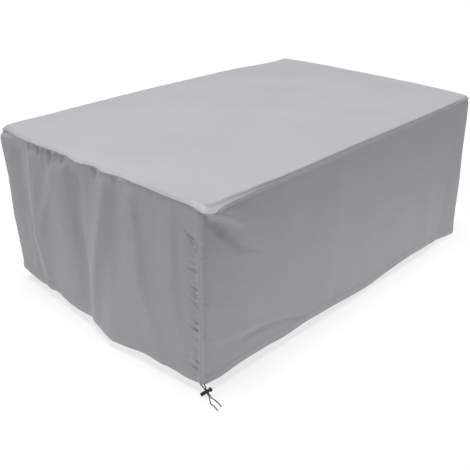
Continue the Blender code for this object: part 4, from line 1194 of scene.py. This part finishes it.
def cord_route(name, step):
    """Out under the hem at the near corner, side by side through the lock, then apart along the ground."""
    right = name == "drawcord_right"
    lock = lock_frame()
    fall = lock.to_3x3() @ Vector((0, 1, 0))
    beside = LOCK_AXIS * (CORD_D + CLEAR) / 2 * (1 if right else -1)
    corner = Vector((-LENGTH / 2, -WIDTH / 2, -CORNERS["near"].drop - CORD_D / 2 - 0.0008))
    leave = corner + (Vector((0.0062, 0.0045, 0.0)) if right else Vector((-0.0015, 0.0165, -0.0028)))
    bend = corner + (Vector((0.0020, -0.0060, -0.0050)) if right else Vector((-0.0030, 0.0010, -0.0060)))
    above = LOCK_CENTRE + beside - fall * 0.0125
    below = LOCK_CENTRE + beside + fall * 0.0125
    turn = Vector((0.0030, -0.0010, 0.0008)) if right else Vector((-0.0036, -0.0012, -0.0006))
    landing = LOCK_CENTRE + fall * 0.0225 + turn
    landing.z = max(landing.z, FLOOR_Z + GROUND + 0.0022)
    tail = [Vector((p.x, p.y, FLOOR_Z + p.up)) for p in CORD_TAILS[name]]
    middle = LOCK_CENTRE + beside
    return smooth_route([leave, bend, above, middle, below, landing] + tail, step)


def build_cord(name):
    """A round braid: two sets of four strands that cross, with a melted bead at its free end."""
    route = cord_route(name, 0.0006)
    points = np.array([tuple(v) for v in route])
    # it starts a little way up inside the hem
    up = np.array([0.0, 0.0, 1.0]) * 0.6 + (points[0] - points[4]) / np.linalg.norm(points[0] - points[4]) * 0.4
    up /= np.linalg.norm(up)
    lead = [points[0] + up * 0.0006 * k for k in range(12, 0, -1)]
    points = np.concatenate([np.array(lead), points])
    way = np.gradient(points, axis=0)
    way /= np.linalg.norm(way, axis=1, keepdims=True)
    side = np.cross(way[0], (0.3, 0.8, 0.2))
    side /= np.linalg.norm(side)
    run = np.concatenate([[0], np.cumsum(np.linalg.norm(np.diff(points, axis=0), axis=1))])
    around = 28
    total = run[-1]
    rows = []
    for i, (c, w) in enumerate(zip(points, way)):
        side = side - w * side.dot(w)
        side /= np.linalg.norm(side)
        other = np.cross(w, side)
        a = 2 * math.pi * np.arange(around + 1) / around
        lay = 2 * math.pi * run[i] / 0.0088
        over = np.cos(4 * a + 4 * lay)
        under = np.cos(4 * a - 4 * lay)
        r = CORD_D / 2 * (0.955 + 0.045 * np.maximum(over, under) + 0.02 * over * under)
        end = total - run[i]
        if end < 0.0026:                      # the melted end
            r = r * 0 + CORD_D / 2 * (1.06 if end > 0.0008 else 1.0)
        if end < 0.0009:
            r = r * math.sqrt(max(0.03, 1 - (1 - end / 0.0009) ** 2 * 0.8))
        rows.append(c + r[:, None] * (np.cos(a)[:, None] * side + np.sin(a)[:, None] * other))
    grid = np.array(rows)
    mesh = bpy.data.meshes.new(name + "_braid")
    n = around
    vertices = grid[:, :-1].reshape(-1, 3)
    index = np.arange(len(grid) * n).reshape(len(grid), n)
    faces = []
    for i in range(len(grid) - 1):
        for j in range(n):
            k = (j + 1) % n
            faces.append((index[i, j], index[i, k], index[i + 1, k], index[i + 1, j]))
    start, stop = len(vertices), len(vertices) + 1
    vertices = np.concatenate([vertices, [points[0]], [points[-1] + way[-1] * 0.0002]])
    for j in range(n):
        k = (j + 1) % n
        faces.append((start, index[0, k], index[0, j]))
        faces.append((stop, index[-1, j], index[-1, k]))
    mesh.from_pydata(vertices.tolist(), [], [tuple(int(v) for v in f) for f in faces])
    layer = mesh.uv_layers.new(name="cloth")
    u = np.concatenate([np.tile(np.arange(n) / n * math.pi * CORD_D, len(grid)), [0, 0]])
    v = np.concatenate([np.repeat(run, n), [0, total]])
    loop_vertex = np.zeros(len(mesh.loops), int)
    mesh.loops.foreach_get("vertex_index", loop_vertex)
    layer.data.foreach_set("uv", np.stack([u, v], -1)[loop_vertex].astype(np.float32).ravel())
    mesh.shade_smooth()
    mesh.update()
    obj = new_object(name + "_braid", mesh, [CORD])
    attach(obj, "cover")
    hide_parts(name)
    path = points[:: 3].tolist()
    if not np.allclose(path[-1], points[-1]):
        path.append(points[-1].tolist())
    return obj, path, float(total), points[0]


# ---------------------------------------------------------------- the cord lock
def lathe(name, profile, segments, flute=None):
    """A turned piece on local Z. flute(angle, radius, height) may change the radius as it turns."""
    vertices, faces = [], []
    rings = []
    for r, z in profile:
        if r < 1e-7:
            rings.append([len(vertices)])
            vertices.append((0, 0, z))
            continue
        ring = []
        for j in range(segments):
            a = 2 * math.pi * j / segments
            rr = flute(a, r, z) if flute else r
            ring.append(len(vertices))
            vertices.append((rr * math.cos(a), rr * math.sin(a), z))
        rings.append(ring)
    for lower, upper in zip(rings, rings[1:]):
        if len(lower) == 1 and len(upper) == 1:
            continue
        for j in range(segments):
            k = (j + 1) % segments
            if len(lower) == 1:
                faces.append((lower[0], upper[j], upper[k]))
            elif len(upper) == 1:
                faces.append((lower[k], lower[j], upper[0]))
            else:
                faces.append((lower[k], lower[j], upper[j], upper[k]))
    mesh = bpy.data.meshes.new(name)
    mesh.from_pydata(vertices, [], faces)
    bm = bmesh.new()
    bm.from_mesh(mesh)
    bmesh.ops.recalc_face_normals(bm, faces=bm.faces)
    bm.to_mesh(mesh)
    bm.free()
    return mesh


def arc(cx, cz, r, start, end, steps):
    return [
        (cx + r * math.cos(math.radians(start + (end - start) * i / steps)),
         cz + r * math.sin(math.radians(start + (end - start) * i / steps)))
        for i in range(steps + 1)
    ]


def block(name, low, high, soft):
    bm = bmesh.new()
    bmesh.ops.create_cube(bm, size=1)
    for v in bm.verts:
        v.co = Vector([low[i] + (v.co[i] + 0.5) * (high[i] - low[i]) for i in range(3)])
    if soft:
        bmesh.ops.bevel(bm, geom=[e for e in bm.edges if abs((e.verts[0].co - e.verts[1].co).normalized().y) > 0.9],
                        offset=soft, segments=4, profile=0.5, affect="EDGES")
    mesh = bpy.data.meshes.new(name)
    bm.to_mesh(mesh)
    bm.free()
    obj = bpy.data.objects.new(name, mesh)
    bpy.context.scene.collection.objects.link(obj)
    return obj


def carved(name, mesh, cutters, material, body, node):
    """The turned piece with its openings cut, edges eased, placed on the lock's axis."""
    obj = new_object(name, mesh)
    for cutter in cutters:
        mod = obj.modifiers.new("cut", "BOOLEAN")
        mod.operation = "DIFFERENCE"
        mod.object = cutter
        mod.solver = "EXACT"
    ease = obj.modifiers.new("ease", "BEVEL")
    ease.width = 0.00022
    ease.segments = 2
    ease.limit_method = "ANGLE"
    ease.angle_limit = math.radians(50)
    bpy.context.view_layer.update()
    final = bpy.data.meshes.new_from_object(obj.evaluated_get(bpy.context.evaluated_depsgraph_get()))
    obj.modifiers.clear()
    obj.data = final
    obj.name = name
    for cutter in cutters:
        bpy.data.objects.remove(cutter)
    final.materials.clear()
    final.materials.append(material)
    final.shade_smooth()
    final.set_sharp_from_angle(angle=math.radians(40))
    final.transform(lock_frame())
    final.update()
    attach(obj, body)
    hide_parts(node)
    return obj


def build_lock():
    """A press-button cord lock: a ribbed barrel with the cords' hole through it, and the button that it holds."""
    ribs = []
    for k in range(5):                                        # grip rings round the closed end
        z = -0.0090 - 0.0034 * k
        ribs += [(LOCK_R - 0.00045, z - 0.0004), (LOCK_R - 0.00045, z - 0.0011), (LOCK_R, z - 0.0015), (LOCK_R, z - 0.0031)]
    outside = (
        arc(LOCK_R - 0.0008, LOCK_RIM - 0.0008, 0.0008, 90, 0, 4)
        + [(LOCK_R, 0.0066), (LOCK_R - 0.0003, 0.0062), (LOCK_R - 0.0003, -0.0072), (LOCK_R, -0.0076)]
        + ribs
        + arc(LOCK_R - 0.0040, LOCK_END + 0.0040, 0.0040, 0, -90, 8)
    )
    outside = [q for i, q in enumerate(outside) if i == 0 or q[1] <= outside[i - 1][1] + 1e-9]
    inside = [(0, BORE_END), (BORE_R, BORE_END), (BORE_R, LOCK_RIM - 0.0004), (BORE_R + 0.0004, LOCK_RIM)]
    barrel = lathe("lock_barrel_shell", inside + outside + [(0, LOCK_END)], 72)
    hole = block("hole", (-HOLE_ACROSS / 2, -0.012, -HOLE_AXIAL / 2), (HOLE_ACROSS / 2, 0.012, HOLE_AXIAL / 2), 0.0022)
    carved("lock_barrel_shell", barrel, [hole], LOCK, "cover", "lock_barrel")

    def flutes(a, r, z):
        if r > BUTTON_R - 0.0004 and BUTTON_FOOT + 0.0014 < z < BUTTON_TOP - 0.0026:
            return r - 0.00030 * (0.5 + 0.5 * math.cos(24 * a)) ** 2
        return r

    button = (
        [(0, BUTTON_TOP - 0.0008), (0.0040, BUTTON_TOP - 0.0007), (0.0052, BUTTON_TOP - 0.0003), (0.0058, BUTTON_TOP)]
        + arc(BUTTON_R - 0.0025, BUTTON_TOP - 0.0025, 0.0025, 90, 0, 6)
        + [(BUTTON_R, z) for z in np.linspace(BUTTON_TOP - 0.0027, BUTTON_FOOT + 0.0013, 7)]
        + arc(BUTTON_R - 0.0012, BUTTON_FOOT + 0.0012, 0.0012, 0, -90, 4)
        + [(STEM_R + 0.0005, BUTTON_FOOT), (STEM_R, BUTTON_FOOT - 0.0005), (STEM_R, STEM_END + 0.0004),
           (STEM_R - 0.0004, STEM_END), (0, STEM_END)]
    )
    plunger = lathe("lock_button_shell", button, 96, flutes)
    slot = block("slot", (-SLOT_ACROSS / 2, -0.010, SLOT_BACK), (SLOT_ACROSS / 2, 0.010, SLOT_FRONT), 0.0018)
    carved("lock_button_shell", plunger, [slot], BUTTON, "button", "lock_plunger")


# ---------------------------------------------------------------- put it together
top = build_top()
sides = {name: build_side(name) for name in ORDER}
stitches = {name: build_stitches(name) for name in ORDER}
cords = {name: build_cord(name) for name in CORD_TAILS}
build_lock()


# ---------------------------------------------------------------- stage, light and camera
def build_stage():
    size = 30.0
    mesh = bpy.data.meshes.new("studio_floor")
    mesh.from_pydata([(-size, -size, FLOOR_Z), (size, -size, FLOOR_Z), (size, size, FLOOR_Z), (-size, size, FLOOR_Z)],
                     [], [(0, 1, 2, 3)])
    material, tree, shader = nodes_of("studio_floor")
    shader.inputs["Base Color"].default_value = (0.20, 0.20, 0.201, 1)
    shader.inputs["Roughness"].default_value = 0.9
    shader.inputs["Specular IOR Level"].default_value = 0.0
    shader.inputs["Emission Color"].default_value = (1, 1, 1, 1)
    shader.inputs["Emission Strength"].default_value = 0.76
    obj = new_object("studio_floor", mesh, [material])


def sun(name, way, strength, angle, colour=(1, 1, 1)):
    light = bpy.data.lights.new(name, "SUN")
    light.energy = strength
    light.angle = math.radians(angle)
    light.color = colour
    obj = bpy.data.objects.new(name, light)
    obj.rotation_mode = "QUATERNION"
    obj.rotation_quaternion = (-Vector(way)).to_track_quat("-Z", "Y")
    bpy.context.scene.collection.objects.link(obj)


def softbox(name, at, way, wide, tall, power, colour=(1, 1, 1)):
    light = bpy.data.lights.new(name, "AREA")
    light.shape = "RECTANGLE"
    light.size, light.size_y = wide, tall
    light.energy = power
    light.color = colour
    obj = bpy.data.objects.new(name, light)
    obj.location = at
    obj.rotation_mode = "QUATERNION"
    obj.rotation_quaternion = Vector(way).to_track_quat("-Z", "Y")
    obj.visible_camera = False
    bpy.context.scene.collection.objects.link(obj)


def build_light():
    world = bpy.data.worlds.new("studio")
    world.use_nodes = True
    background = world.node_tree.nodes["Background"]
    background.inputs["Color"].default_value = (0.97, 0.98, 1.0, 1)
    background.inputs["Strength"].default_value = 0.03
    bpy.context.scene.world = world
    sun("overhead", (-0.03, 0.04, 1.0), 3.65, 30)
    sun("from_left", (-0.80, 0.46, 0.58), 0.36, 18)
    softbox("top_box", (-1.2, 0.0, 2.7), (0.30, 0.0, -1.0), 3.0, 3.0, 11)
    softbox("low_front", (-0.10, -1.26, -0.73), (0.0, 1.0, 0.14), 2.6, 0.12, 2.1)
    softbox("low_left", (-1.66, 0.05, -0.73), (1.0, 0.0, 0.10), 1.7, 0.12, 0.42)


def build_camera():
    data = bpy.data.cameras.new("camera")
    data.sensor_width = 36.0
    data.lens = 52.941
    data.clip_start, data.clip_end = 0.05, 100
    obj = bpy.data.objects.new("camera", data)
    right = Vector((0.66505384, -0.74644621, 0.02283529))
    down = Vector((-0.32058773, -0.31298068, -0.89401712))
    ahead = Vector((0.67448269, 0.58724880, -0.44745049))
    matrix = Matrix((right, -down, -ahead)).transposed().to_4x4()
    matrix.translation = (-2.63411240, -2.16769861, 0.98998549)
    obj.matrix_world = matrix
    bpy.context.scene.collection.objects.link(obj)
    bpy.context.scene.camera = obj


build_stage()
build_light()
build_camera()
view = bpy.context.scene.view_settings
view.view_transform = "Standard"
view.look = "None"
view.exposure = 0.0
view.gamma = 1.0
